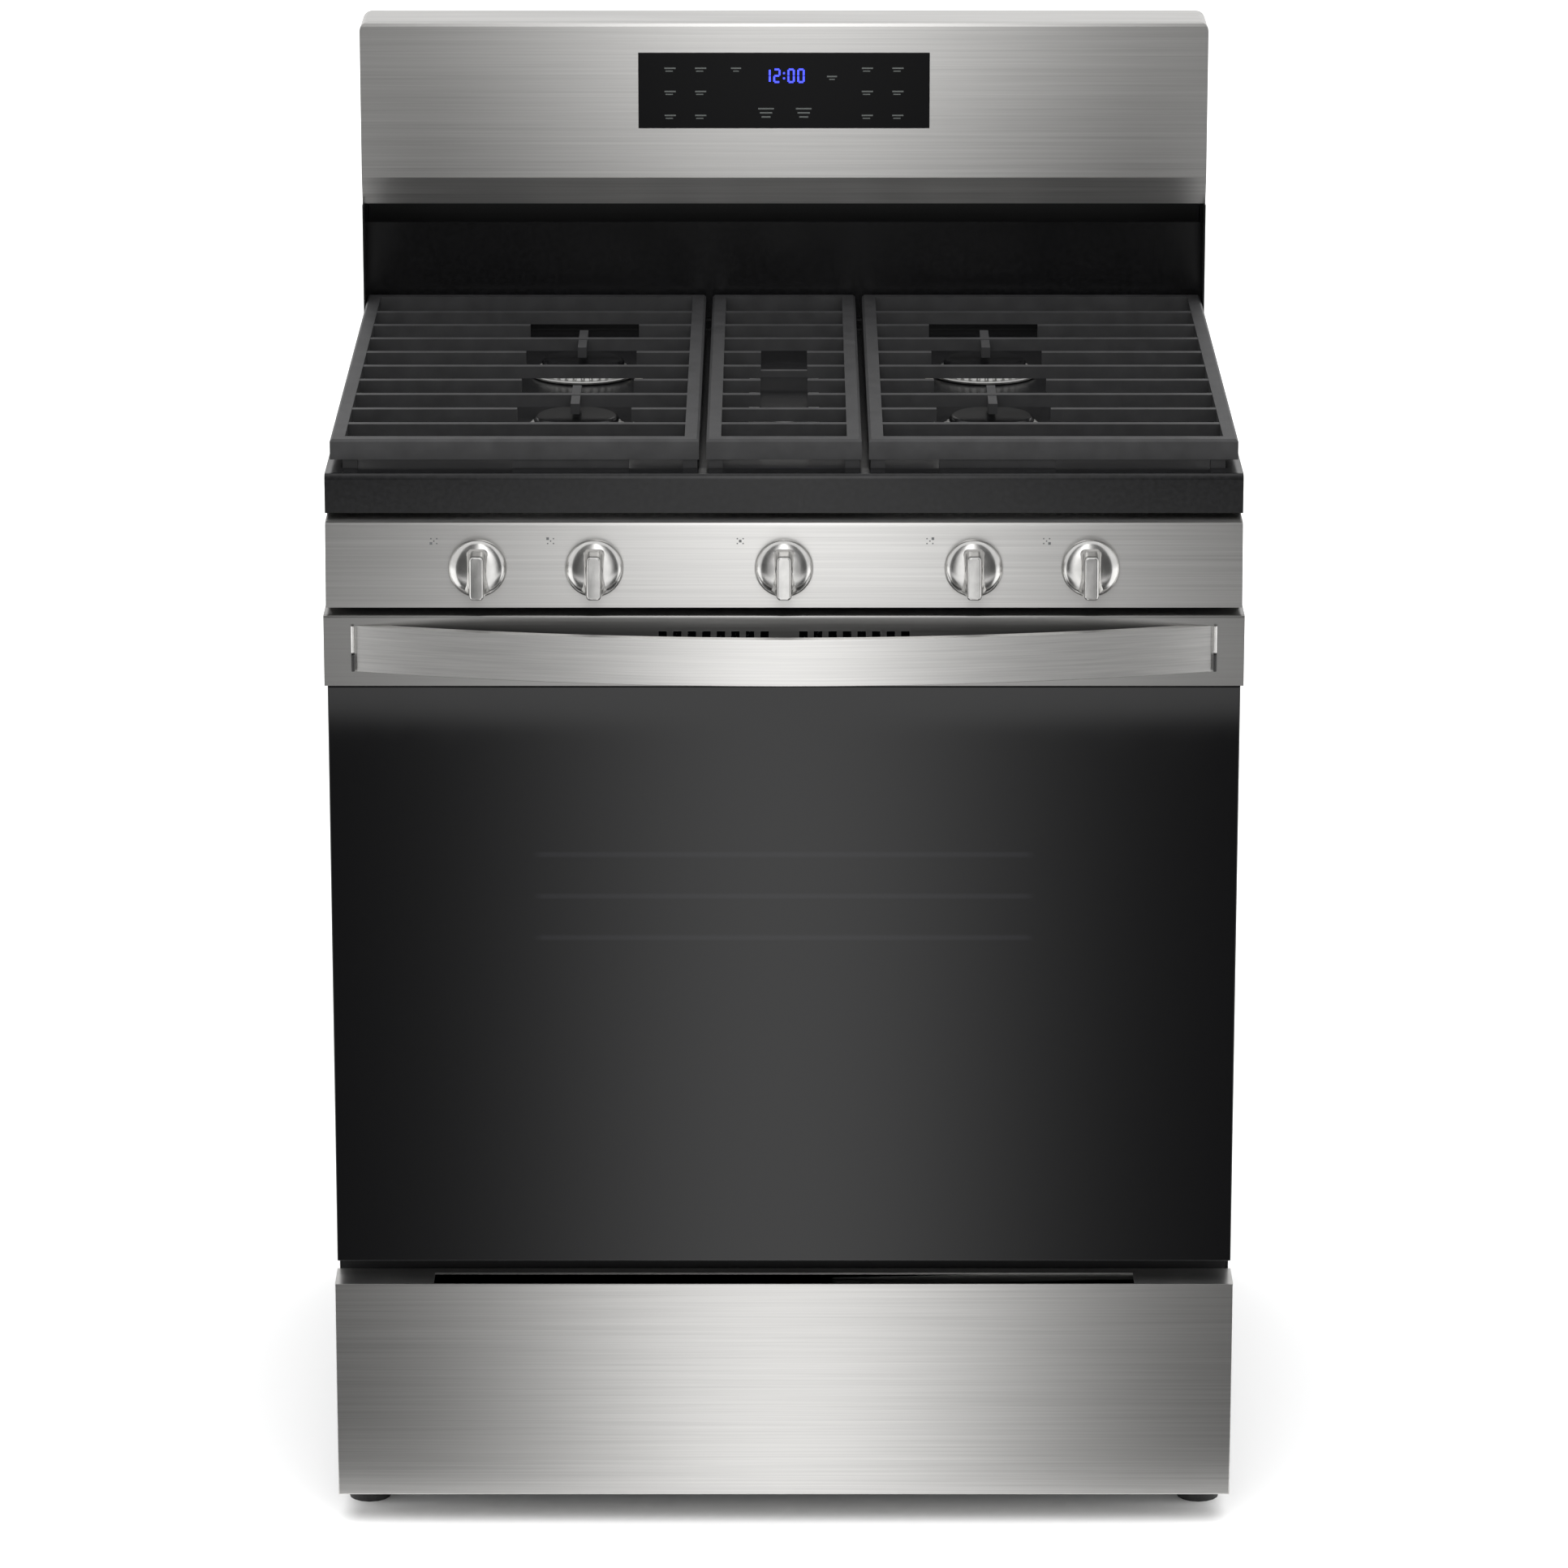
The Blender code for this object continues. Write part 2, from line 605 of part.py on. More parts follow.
def oven_floor():
    half = CAVITY_HALF - 0.001 - LINER_SHEET / 2
    top = CAVITY_BOTTOM + FLOOR_RISE
    foot = CAVITY_BOTTOM + GAP
    span = (LINER_D + 0.004, CAVITY_BACK_D - 0.002)
    line = [(-half, foot), (-half, top), (half, top), (half, foot)]
    floor = sheet_channel("oven_floor", line, span, LINER_SHEET, "oven_enamel")
    slots = []
    length = (span[1] - span[0]) / 6
    for side in (-1, 1):
        for i in range(5):
            start = span[0] + length * (i + 0.65)
            middle = side * (half - 0.030)
            slots.append(((middle - 0.004, middle + 0.004), (start, start + length * 0.7),
                          (top - 0.01, top + 0.01)))
    cut(floor, blocks_tool("floor_slots", slots))


def hairpin(half, front, back, z, bend):
    """A U of (x, depth, z) points, open to the back, with rounded front corners."""
    left = arc((-half + bend, front + bend), bend, 180, 270, 4)
    right = arc((half - bend, front + bend), bend, 270, 360, 4)
    return [(-half, back, z)] + [(x, d, z) for x, d in left + right] + [(half, back, z)]


def oven_burners():
    back = CAVITY_BACK_D - GAP
    low = CAVITY_BOTTOM + FLOOR_RISE / 2
    high = CAVITY_TOP - 0.025
    tube("bake_burner", hairpin(0.13, LINER_D + 0.09, back, low, 0.05), OVEN_TUBE, "steel")
    tube("broil_burner", hairpin(0.09, LINER_D + 0.11, back, high, 0.05), OVEN_TUBE, "steel")


def oven_fittings():
    turn = Matrix.Rotation(math.radians(90), 4, "X")
    wall = at(CAVITY_BACK_D - GAP)
    dome = [(0.024 * math.cos(a), 0.010 + 0.020 * math.sin(a))
            for a in (math.radians(90 - 15 * i) for i in range(1, 7))]
    lamp = [(0, 0.030)] + dome + [(0.030, 0.010), (0.032, 0.007), (0.032, 0), (0, 0)]
    turned("oven_lamp", lamp, 20, Matrix.Translation((0.20, wall, CAVITY_TOP - 0.075)) @ turn,
           "lamp_glass")
    probe = [(0, 0.100), (0.002, 0.100), (0.003, 0.098), (0.003, 0.003), (0.011, 0.003), (0.011, 0), (0, 0)]
    turned("oven_temperature_probe", probe, 12,
           Matrix.Translation((-0.20, wall, CAVITY_TOP - 0.060)) @ turn, "steel")


def oven_rack(name, level):
    half = CAVITY_HALF - RACK_SIDE_GAP
    low = ledge_height(level) + GAP
    ds = (RACK_FRONT_D, CAVITY_BACK_D - 0.015)
    rack = block(name, (-half, half), ds, (low, low + RACK_WIRE), "chrome")
    cut(rack, block(name + "_inside", (-half + RACK_WIRE, half - RACK_WIRE),
                    (ds[0] + RACK_WIRE, ds[1] - RACK_WIRE), (low - 0.01, low + RACK_WIRE + 0.01),
                    cutter=True))
    pitch = 2 * half / (RACK_ROD_COUNT + 1)
    bars = []
    for i in range(RACK_ROD_COUNT):
        x = -half + pitch * (i + 1)
        bars.append(((x - RACK_ROD / 2, x + RACK_ROD / 2), (ds[0] + 0.003, ds[1] - 0.003),
                     (low + 0.0022, low + 0.0022 + RACK_ROD)))
    join(rack, blocks_tool(name + "_rods", bars))
    middle = sum(ds) / 2
    brace = ((-half + 0.003, half - 0.003), (middle - 0.002, middle + 0.002), (low + 0.0004, low + 0.0034))
    join(rack, blocks_tool(name + "_brace", [brace]))


def door_gasket():
    half = CAVITY_HALF + GASKET_RUN
    low = CAVITY_BOTTOM - GASKET_LOW_RUN
    high = CAVITY_TOP + GASKET_RUN
    bend = GASKET_BEND
    depth = DOOR_THICKNESS + GAP + GASKET_DIAMETER / 2
    corners = (((half - bend, high - bend), 0), ((-half + bend, high - bend), 90),
               ((-half + bend, low + bend), 180), ((half - bend, low + bend), 270))
    loop = []
    for centre, start in corners:
        loop += [(x, depth, z) for x, z in arc(centre, bend, start, start + 90, 4)]
    tube("door_gasket", loop, GASKET_DIAMETER / 2 - 0.0001, "gasket", cyclic=True)


# ---------------------------------------------------------------- drawer

def drawer_front():
    ds = (0, DRAWER_FRONT_THICKNESS)
    front = block("drawer_front", (-HALF, HALF), ds, (DRAWER_BOTTOM, DRAWER_TOP), "stainless")
    soften(front, 0.0012, lambda p: p.y < at(0.001))
    cut(front, block("drawer_front_pocket", (-HALF + SHEET, HALF - SHEET),
                     (SHEET, DRAWER_FRONT_THICKNESS + 0.01),
                     (DRAWER_BOTTOM + SHEET, DRAWER_TOP - SHEET), cutter=True))
    cut(front, block("drawer_pull_opening", (-PULL_HALF, PULL_HALF), (SHEET + 0.0001, PULL_BACK_D),
                     (DRAWER_TOP - 0.01, DRAWER_TOP + 0.01), cutter=True))


def drawer_box():
    high = DRAWER_TOP - DRAWER_BOX_DROP
    half = DRAWER_BOX_HALF
    ds = (SHEET + GAP, DRAWER_BOX_BACK)
    box = block("drawer_box", (-half, half), ds, (DRAWER_BOX_BOTTOM, high), "galvanised")
    cut(box, block("drawer_inside", (-half + SHEET, half - SHEET), (ds[0] + SHEET, ds[1] - SHEET),
                   (DRAWER_BOX_BOTTOM + SHEET, high + 0.01), cutter=True))
    low = DRAWER_BOX_BOTTOM + RUNNER_RISE
    runners = [((-half - RUNNER_WIDTH, -half + SHEET / 2), (RAIL_FRONT_D, ds[1] - 0.01),
                (low, low + RUNNER_THICK)),
               ((half - SHEET / 2, half + RUNNER_WIDTH), (RAIL_FRONT_D, ds[1] - 0.01),
                (low, low + RUNNER_THICK))]
    join(box, blocks_tool("drawer_runners", runners))


def drawer_rails():
    shelf = DRAWER_BOX_HALF + 0.0015
    web = DRAWER_BOX_HALF + RUNNER_WIDTH + 0.0015
    low = SHELF_TOP - RUNNER_THICK
    for name, side in (("drawer_rail_left", -1), ("drawer_rail_right", 1)):
        def span(near, far):
            return (min(side * near, side * far), max(side * near, side * far))
        rail = block(name, span(web, web + RAIL_WEB), (RAIL_FRONT_D, RAIL_BACK_D),
                     (low, low + RAIL_TALL), "galvanised")
        ledge = (span(shelf, web + RAIL_WEB / 2), (RAIL_FRONT_D + 0.001, RAIL_BACK_D - 0.001),
                 (low + 0.0005, SHELF_TOP))
        join(rail, blocks_tool(name + "_shelf", [ledge]))
        reach = span(web + RAIL_WEB / 2, INNER_HALF)
        ends = [(reach, (d, d + RAIL_BRACKET), (low + 0.004, low + RAIL_TALL - 0.004))
                for d in (RAIL_FRONT_D + 0.002, RAIL_BACK_D - RAIL_BRACKET - 0.002)]
        join(rail, blocks_tool(name + "_brackets", ends))


# ---------------------------------------------------------------- door

def door_glass():
    half = CABINET_HALF - 0.001
    glass = block("door_glass", (-half, half), (0, GLASS_THICKNESS), (DOOR_BOTTOM, GLASS_TOP),
                  "black_glass")
    soften(glass, 0.0008, lambda p: p.y < at(0.001), 1)


def door_hollow(half, window_low, window_high):
    """The space inside the door, open behind the glass, around the window and the hinge blocks."""
    hollow = block("door_hollow", (-half + SHEET, half - SHEET), (-0.01, DOOR_THICKNESS - SHEET),
                   (DOOR_BOTTOM + 0.001 + SHEET, DOOR_TOP - 2 * SHEET - GAP), cutter=True)
    wide = WINDOW_HALF + WINDOW_REBATE + SHEET
    cut(hollow, block("door_window_walls", (-wide, wide), (-0.02, DOOR_THICKNESS + 0.01),
                      (window_low - WINDOW_REBATE - SHEET, window_high + WINDOW_REBATE + SHEET),
                      cutter=True))
    for name, side in (("left", -1), ("right", 1)):
        span = (side * ARM_X - HINGE_BLOCK_HALF, side * ARM_X + HINGE_BLOCK_HALF)
        cut(hollow, block("door_hinge_block_" + name, span, (-0.02, DOOR_THICKNESS + 0.01),
                          (DOOR_BOTTOM - 0.01, HINGE_Z + EYE_RADIUS + 0.004), cutter=True))
    return hollow


def door_liner():
    half = CABINET_HALF - 0.0015
    front = GLASS_THICKNESS + GAP
    liner = block("door_liner", (-half, half), (front, DOOR_THICKNESS),
                  (DOOR_BOTTOM + 0.001, DOOR_TOP - SHEET - GAP), "painted_black")
    low = DOOR_BOTTOM + WINDOW_BOTTOM_RISE
    high = low + WINDOW_HEIGHT
    cut(liner, block("window_opening", (-WINDOW_HALF, WINDOW_HALF), (0, DOOR_THICKNESS + 0.01),
                     (low, high), cutter=True))
    wide = WINDOW_HALF + WINDOW_REBATE
    cut(liner, block("window_rebate", (-wide, wide),
                     (DOOR_THICKNESS - WINDOW_PANE - 0.001, DOOR_THICKNESS + 0.01),
                     (low - WINDOW_REBATE, high + WINDOW_REBATE), cutter=True))
    cut(liner, door_hollow(half, low, high))
    turn = Matrix.Rotation(math.radians(90), 4, "Y")
    reach = EYE_RADIUS + 0.001
    for name, side in (("left", -1), ("right", 1)):
        x = side * ARM_X
        slot = ARM_THICKNESS / 2 + 0.0015
        cut(liner, block("hinge_slot_" + name, (x - slot, x + slot),
                         (HINGE_D - reach, DOOR_THICKNESS + 0.01),
                         (DOOR_BOTTOM - 0.01, HINGE_Z + reach), cutter=True))
        pin = Matrix.Translation((x, at(HINGE_D), HINGE_Z)) @ turn
        join(liner, rod_tool("hinge_pin_" + name, PIN_RADIUS, -slot - 0.002, slot + 0.002, 12, pin))


def door_window():
    wide = WINDOW_HALF + WINDOW_REBATE - GAP
    low = DOOR_BOTTOM + WINDOW_BOTTOM_RISE - WINDOW_REBATE + GAP
    back = DOOR_THICKNESS - 0.001 + GAP
    block("door_window", (-wide, wide), (back - WINDOW_PANE, back),
          (low, low + WINDOW_HEIGHT + 2 * WINDOW_REBATE - 2 * GAP), "window_glass")


def door_trim():
    trim = block("door_trim", (-HALF, HALF), (0, DOOR_THICKNESS), (GLASS_TOP + GAP, DOOR_TOP), "stainless")
    soften(trim, 0.0025, lambda p: p.y < at(0.001) and p.z > DOOR_TOP - 0.001)
    cut(trim, block("trim_pocket", (-HALF + SHEET, HALF - SHEET), (SHEET, DOOR_THICKNESS + 0.01),
                    (GLASS_TOP - 0.01, DOOR_TOP - SHEET), cutter=True))
    slots = []
    top = DOOR_TOP - SLOT_DROP
    for side in (-1, 1):
        for i in range(SLOT_COUNT):
            x = side * (SLOT_FIRST_X + SLOT_PITCH * i)
            slots.append(((x - SLOT_WIDTH / 2, x + SLOT_WIDTH / 2), (-0.002, SHEET + 0.001),
                          (top - SLOT_HEIGHT, top)))
    cut(trim, blocks_tool("trim_slots", slots))


def bow(half, rise, start):
    """Points of a shallow arc in plan, from +half to -half, rising to the front of a start depth."""
    radius = (half ** 2 + rise ** 2) / (2 * rise)
    swing = math.degrees(math.asin(half / radius))
    return [(x, start + radius - rise - y) for x, y in
            arc((0, 0), radius, 90 - swing, 90 + swing, HANDLE_STEPS)]


def door_handle():
    outer = bow(HANDLE_HALF, HANDLE_REACH - GAP, -GAP)
    inner = bow(HANDLE_HALF - HANDLE_PAD, HANDLE_REACH - HANDLE_THICK - GAP, -GAP)
    low = GLASS_TOP + HANDLE_RISE
    handle = outline("door_handle", outer + inner[::-1], (low, low + HANDLE_TALL), "Z", "stainless")
    return handle


def hinge_arms():
    turn = Matrix.Rotation(math.radians(90), 4, "Y")
    back = FRAME_D - GAP
    for name, side in (("hinge_arm_left", -1), ("hinge_arm_right", 1)):
        x = side * ARM_X
        thin = (x - ARM_THICKNESS / 2, x + ARM_THICKNESS / 2)
        middle = Matrix.Translation((x, at(HINGE_D), HINGE_Z)) @ turn
        arm = block(name, thin, (HINGE_D, back - ARM_PLATE / 2), (HINGE_Z - 0.0065, HINGE_Z + 0.0065),
                    "steel")
        eye = ARM_THICKNESS / 2 - 0.0002
        join(arm, rod_tool(name + "_eye", EYE_RADIUS, -eye, eye, 20, middle))
        plate = ((x - 0.0125, x + 0.0125), (back - ARM_PLATE, back), (HINGE_Z - 0.013, HINGE_Z + 0.013))
        join(arm, blocks_tool(name + "_plate", [plate]))
        cut(arm, rod_tool(name + "_bore", PIN_RADIUS + STEM_CLEARANCE, -0.01, 0.01, 12, middle))


# ---------------------------------------------------------------- cooktop

def oval(half_width, half_length, depth, steps=8):
    """A stadium of (x, depth) points, long from front to back."""
    straight = half_length - half_width
    rear = arc((0, depth + straight), half_width, 0, 180, steps)
    front = arc((0, depth - straight), half_width, 180, 360, steps)
    return rear + front


def cooktop():
    back = BODY_DEPTH - COOKTOP_BACK_GAP
    top = block("cooktop", (-CABINET_HALF, CABINET_HALF), (COOKTOP_D, back), (LIP_BOTTOM, RIM),
                "black_enamel")
    soften(top, 0.005, lambda p: p.y < at(COOKTOP_D + 0.001) and p.z > RIM - 0.001, 3)
    deck_back = BODY_DEPTH - RIM_BACK_D
    cut(top, block("deck_well", (-CABINET_HALF + RIM_SIDE, CABINET_HALF - RIM_SIDE),
                   (COOKTOP_D + RIM_FRONT, deck_back), (DECK, RIM + 0.01), cutter=True))
    cut(top, block("cooktop_underside", (-CABINET_HALF + SHEET, CABINET_HALF - SHEET),
                   (COOKTOP_D + SHEET, back - SHEET), (LIP_BOTTOM - 0.01, DECK - SHEET), cutter=True))
    for name, (x, depth) in zip(BURNER_NAMES, BURNER_PLACES):
        place = Matrix.Translation((x, at(depth), 0))
        cut(top, rod_tool(name + "_burner_hole", HEAD_STEM_RADIUS + 0.001,
                          DECK - 0.02, DECK + 0.02, 16, place))


def burner_heads():
    low = DECK + GAP
    high = low + HEAD_HEIGHT
    ring = HEAD_RADIUS - 0.007
    profile = [(0, high), (ring, high), (ring, low + 0.0035), (HEAD_RADIUS - 0.001, low + 0.003),
               (HEAD_RADIUS, low + 0.002), (HEAD_RADIUS, low), (HEAD_STEM_RADIUS, low),
               (HEAD_STEM_RADIUS, low - HEAD_STEM), (0, low - HEAD_STEM)]
    for name, (x, depth) in zip(BURNER_NAMES, BURNER_PLACES):
        if name == "center":
            head = outline("burner_head_center", oval(OVAL_HALF_WIDTH, OVAL_HALF_LENGTH, depth),
                           (low, high), "Z", "aluminium")
            join(head, rod_tool("center_head_stem", HEAD_STEM_RADIUS, low - HEAD_STEM, high - 0.002, 16,
                                Matrix.Translation((x, at(depth), 0))))
        else:
            turned("burner_head_" + name, profile, 24, Matrix.Translation((x, at(depth), 0)), "aluminium")


def burner_caps():
    low = DECK + GAP + HEAD_HEIGHT + GAP
    high = low + CAP_HEIGHT
    profile = [(0, high), (CAP_RADIUS - 0.004, high), (CAP_RADIUS - 0.001, high - 0.001),
               (CAP_RADIUS, high - 0.003), (CAP_RADIUS, low), (0, low)]
    for name, (x, depth) in zip(BURNER_NAMES, BURNER_PLACES):
        if name == "center":
            outline("burner_cap_center",
                    oval(OVAL_HALF_WIDTH - OVAL_CAP_INSET, OVAL_HALF_LENGTH - OVAL_CAP_INSET, depth),
                    (low, high), "Z", "black_enamel")
        else:
            turned("burner_cap_" + name, profile, 24, Matrix.Translation((x, at(depth), 0)),
                   "black_enamel")


# ---------------------------------------------------------------- grates

def bar_depths():
    """Depths of the cross bars: a fixed pitch from the front burners, kept between the end rails."""
    first = GRATE_D + GRATE_RAIL + BAR_PITCH / 2
    last = GRATE_BACK_D - GRATE_RAIL - BAR_PITCH / 2
    steps = range(-4, 12)
    return [FRONT_BURNER_D + k * BAR_PITCH for k in steps if first < FRONT_BURNER_D + k * BAR_PITCH < last]


def near_burner(depth, burners):
    """Whether a bar is the one before or behind a burner's middle bar."""
    return any(abs(abs(depth - burner) - BAR_PITCH) < BAR_PITCH / 4 for burner in burners)


def grate_bars(xs, opening, burners):
    """Cross bars, broken over the burners, as blocks that run into the side rails."""
    low, high = GRATE_TOP - GRATE_BAR_TALL, GRATE_TOP - 0.0005
    bars = []
    for depth in bar_depths():
        ds = (depth - GRATE_BAR / 2, depth + GRATE_BAR / 2)
        if near_burner(depth, burners):
            bars.append(((xs[0] + 0.005, opening[0]), ds, (low, high)))
            bars.append(((opening[1], xs[1] - 0.005), ds, (low, high)))
        else:
            bars.append(((xs[0] + 0.005, xs[1] - 0.005), ds, (low, high)))
    return bars


def grate_frame(name, xs):
    """The outer ring of a grate, with its front and rear walls."""
    ds = (GRATE_D, GRATE_BACK_D)
    frame = block(name, xs, ds, (GRATE_TOP - GRATE_WALL, GRATE_TOP), "cast_iron")
    soften(frame, 0.002, lambda p: p.z > GRATE_TOP - 0.001, 1)
    cut(frame, block(name + "_inside", (xs[0] + GRATE_RAIL, xs[1] - GRATE_RAIL),
                     (ds[0] + GRATE_RAIL, ds[1] - GRATE_RAIL),
                     (GRATE_TOP - GRATE_WALL - 0.01, GRATE_TOP + 0.01), cutter=True))
    return frame


def grate_feet(xs, wide):
    """Feet under the walls, from the wall's inside down to the deck."""
    zs = (DECK + GAP, GRATE_TOP - GRATE_WALL + 0.004)
    front = (GRATE_D + 0.0015, GRATE_D + 0.0105)
    rear = (GRATE_BACK_D - 0.0105, GRATE_BACK_D - 0.0015)
    inner = max(xs[0] + 0.0015, -CABINET_HALF + RIM_SIDE + 0.0015)
    outer = min(xs[1] - 0.0015, CABINET_HALF - RIM_SIDE - 0.0015)
    spans = [(inner, inner + FOOT_BLOCK), (outer - FOOT_BLOCK, outer)]
    feet_blocks = [(span, ds, zs) for span in spans for ds in (front, rear)]
    if wide is not None:
        feet_blocks.append(((wide - WIDE_FOOT_HALF, wide + WIDE_FOOT_HALF), front, zs))
    return feet_blocks


def grate_lugs(xs):
    """Two hinge lugs behind the rear wall."""
    middle = GRATE_TOP - LUG_DROP
    ds = (GRATE_BACK_D - 0.004, GRATE_BACK_D + LUG_LENGTH)
    zs = (middle - LUG_TALL / 2, middle + LUG_TALL / 2)
    inset = min(LUG_INSET, (xs[1] - xs[0]) / 4)
    places = (xs[0] + inset, xs[1] - inset)
    return [((x - LUG_WIDTH / 2, x + LUG_WIDTH / 2), ds, zs) for x in places]


def side_grate(name, side):
    xs = tuple(sorted((side * SIDE_GRATE_INNER, side * SIDE_GRATE_OUTER)))
    burner = side * BURNER_X
    grate = grate_frame(name, xs)
    burners = (FRONT_BURNER_D, REAR_BURNER_D)
    opening = (burner - OPENING_HALF, burner + OPENING_HALF)
    join(grate, blocks_tool(name + "_bars", grate_bars(xs, opening, burners)))
    fingers = [((burner - GRATE_BAR / 2, burner + GRATE_BAR / 2), (d - FINGER_HALF, d + FINGER_HALF),
                (GRATE_TOP - GRATE_BAR_TALL + 0.001, GRATE_TOP - 0.001)) for d in burners]
    join(grate, blocks_tool(name + "_fingers", fingers))
    join(grate, blocks_tool(name + "_feet", grate_feet(xs, burner) + grate_lugs(xs)))


def centre_grate():
    name = "grate_center"
    xs = (-CENTRE_GRATE_HALF, CENTRE_GRATE_HALF)
    grate = grate_frame(name, xs)
    low, high = GRATE_TOP - GRATE_BAR_TALL, GRATE_TOP - 0.0005
    bars = []
    for depth in bar_depths():
        ds = (depth - GRATE_BAR / 2, depth + GRATE_BAR / 2)
        if abs(depth - OVAL_D) < 2.5 * BAR_PITCH and depth < REAR_BURNER_D - BAR_PITCH / 2:
            bars.append(((xs[0] + 0.005, -CENTRE_OPENING_HALF), ds, (low, high)))
            bars.append(((CENTRE_OPENING_HALF, xs[1] - 0.005), ds, (low, high)))
        else:
            bars.append(((xs[0] + 0.005, xs[1] - 0.005), ds, (low, high)))
    join(grate, blocks_tool(name + "_bars", bars))
    reach = CENTRE_OPENING_HALF + 0.004
    bridge = ((-reach, reach), (OVAL_D - GRATE_BAR / 2 + 0.0006, OVAL_D + GRATE_BAR / 2 - 0.0006),
              (low + 0.001, high - 0.004))
    join(grate, blocks_tool(name + "_bridge", [bridge]))
    join(grate, blocks_tool(name + "_feet", grate_feet(xs, None) + grate_lugs(xs)))


# ---------------------------------------------------------------- controls

def stem_frame(x, offset=0.0):
    """Placing on a knob's axis: its Z points out of the control panel."""
    lean = Matrix.Rotation(math.radians(90) - PANEL_TILT, 4, "X")
    spot = Matrix.Translation((x, at(KNOB_D), KNOB_Z))
    return spot @ lean @ Matrix.Translation((0, 0, offset))


def control_panel():
    half = CABINET_HALF - 0.0005
    lean = math.tan(PANEL_TILT)
    outer = [(PANEL_BOTTOM_D, PANEL_BOTTOM), (PANEL_BACK_D, PANEL_BOTTOM), (PANEL_BACK_D, PANEL_TOP),
             (PANEL_TOP_D + 0.004, PANEL_TOP), (PANEL_TOP_D + 0.001, PANEL_TOP - 0.001),
             (PANEL_TOP_D - 0.004 * lean, PANEL_TOP - 0.004)]
    panel = outline("control_panel", outer, (-half, half), "X", "stainless")
    skin = SHEET / math.cos(PANEL_TILT)
    floor = PANEL_BOTTOM + SHEET
    ceiling = PANEL_TOP - SHEET
    inner = [(PANEL_BOTTOM_D + SHEET * lean + skin, floor), (PANEL_BACK_D + 0.01, floor),
             (PANEL_BACK_D + 0.01, ceiling), (PANEL_TOP_D + skin + 0.003, ceiling),
             (PANEL_TOP_D + skin - 0.004 * lean, PANEL_TOP - 0.004)]
    cut(panel, outline("panel_pocket", inner, (-half + SHEET, half - SHEET), "X", cutter=True))
    for name, x in zip(BURNER_NAMES, KNOB_X):
        cut(panel, rod_tool("panel_hole_" + name, STEM_RADIUS + 0.002, -0.01, 0.01, 16, stem_frame(x)))


def valve_stems():
    for name, x in zip(BURNER_NAMES, KNOB_X):
        profile = [(0, STEM_TIP), (STEM_RADIUS - 0.0006, STEM_TIP), (STEM_RADIUS, STEM_TIP - 0.0006),
                   (STEM_RADIUS, -STEM_TAIL), (0, -STEM_TAIL)]
        turned("valve_stem_" + name, profile, 12, stem_frame(x), "steel")


def blade_outline():
    """Side view of a knob's grip as (depth, z) about its axis, upright before the panel's lean."""
    skirt = KNOB_STANDOFF + KNOB_SKIRT
    reach = KNOB_RADIUS - 0.0006
    return [(-skirt + 0.002, -reach), (-KNOB_REACH + 0.002, -reach), (-KNOB_REACH, -reach + 0.002),
            (-KNOB_REACH, KNOB_BLADE_TOP - 0.002), (-KNOB_REACH + 0.002, KNOB_BLADE_TOP),
            (-skirt, reach - 0.002), (-skirt + 0.002, reach - 0.002)]


def knobs():
    skirt = KNOB_STANDOFF + KNOB_SKIRT
    profile = [(0, skirt), (KNOB_RADIUS - 0.002, skirt), (KNOB_RADIUS, skirt - 0.002),
               (KNOB_RADIUS, KNOB_STANDOFF), (0, KNOB_STANDOFF)]
    upright = Matrix.Rotation(math.radians(-90), 4, "X") @ Matrix.Translation((0, -FRONT, 0))
    for name, x in zip(BURNER_NAMES, KNOB_X):
        knob = turned("knob_" + name, profile, 28, stem_frame(x), "bright_knob")
        blade = outline("knob_blade_" + name, blade_outline(), (-KNOB_BLADE / 2, KNOB_BLADE / 2), "X",
                        cutter=True)
        blade.matrix_world = stem_frame(x) @ upright @ blade.matrix_world
        join(knob, blade)
        flare_low = skirt - 0.002
        flare = [(-flare_low, -KNOB_RADIUS * 0.80), (-skirt - 0.006, -KNOB_RADIUS * 0.72),
                 (-skirt - 0.006, KNOB_RADIUS * 0.45), (-flare_low, KNOB_RADIUS * 0.60)]
        wings = outline("knob_flare_" + name, flare, (-KNOB_BLADE_FLARE / 2, KNOB_BLADE_FLARE / 2), "X",
                        cutter=True)
        wings.matrix_world = stem_frame(x) @ upright @ wings.matrix_world
        join(knob, wings)
        cut(knob, rod_tool("knob_bore_" + name, STEM_RADIUS + STEM_CLEARANCE, -0.01, KNOB_BORE_DEPTH, 12,
                           stem_frame(x)))


def gas_manifold():
    face = KNOB_D + VALVE_FACE
    pipe_d = face + VALVE_LENGTH - 0.010
    z = KNOB_Z + 0.006
    back = BODY_DEPTH - REGULATOR_BACK
    run = [(KNOB_X[-1] + 0.04, pipe_d, z), (INLET_X, pipe_d, z), (INLET_X, back, z),
           (INLET_X, back, INLET_Z + REGULATOR_TALL / 2 + GAP)]
    pipe = tube("gas_manifold", run, PIPE_RADIUS, "steel")
    valves = [((x - VALVE_SIZE / 2, x + VALVE_SIZE / 2), (face, face + VALVE_LENGTH),
               (KNOB_Z - 0.020, KNOB_Z + 0.0195)) for x in KNOB_X]
    join(pipe, blocks_tool("valve_bodies", valves))


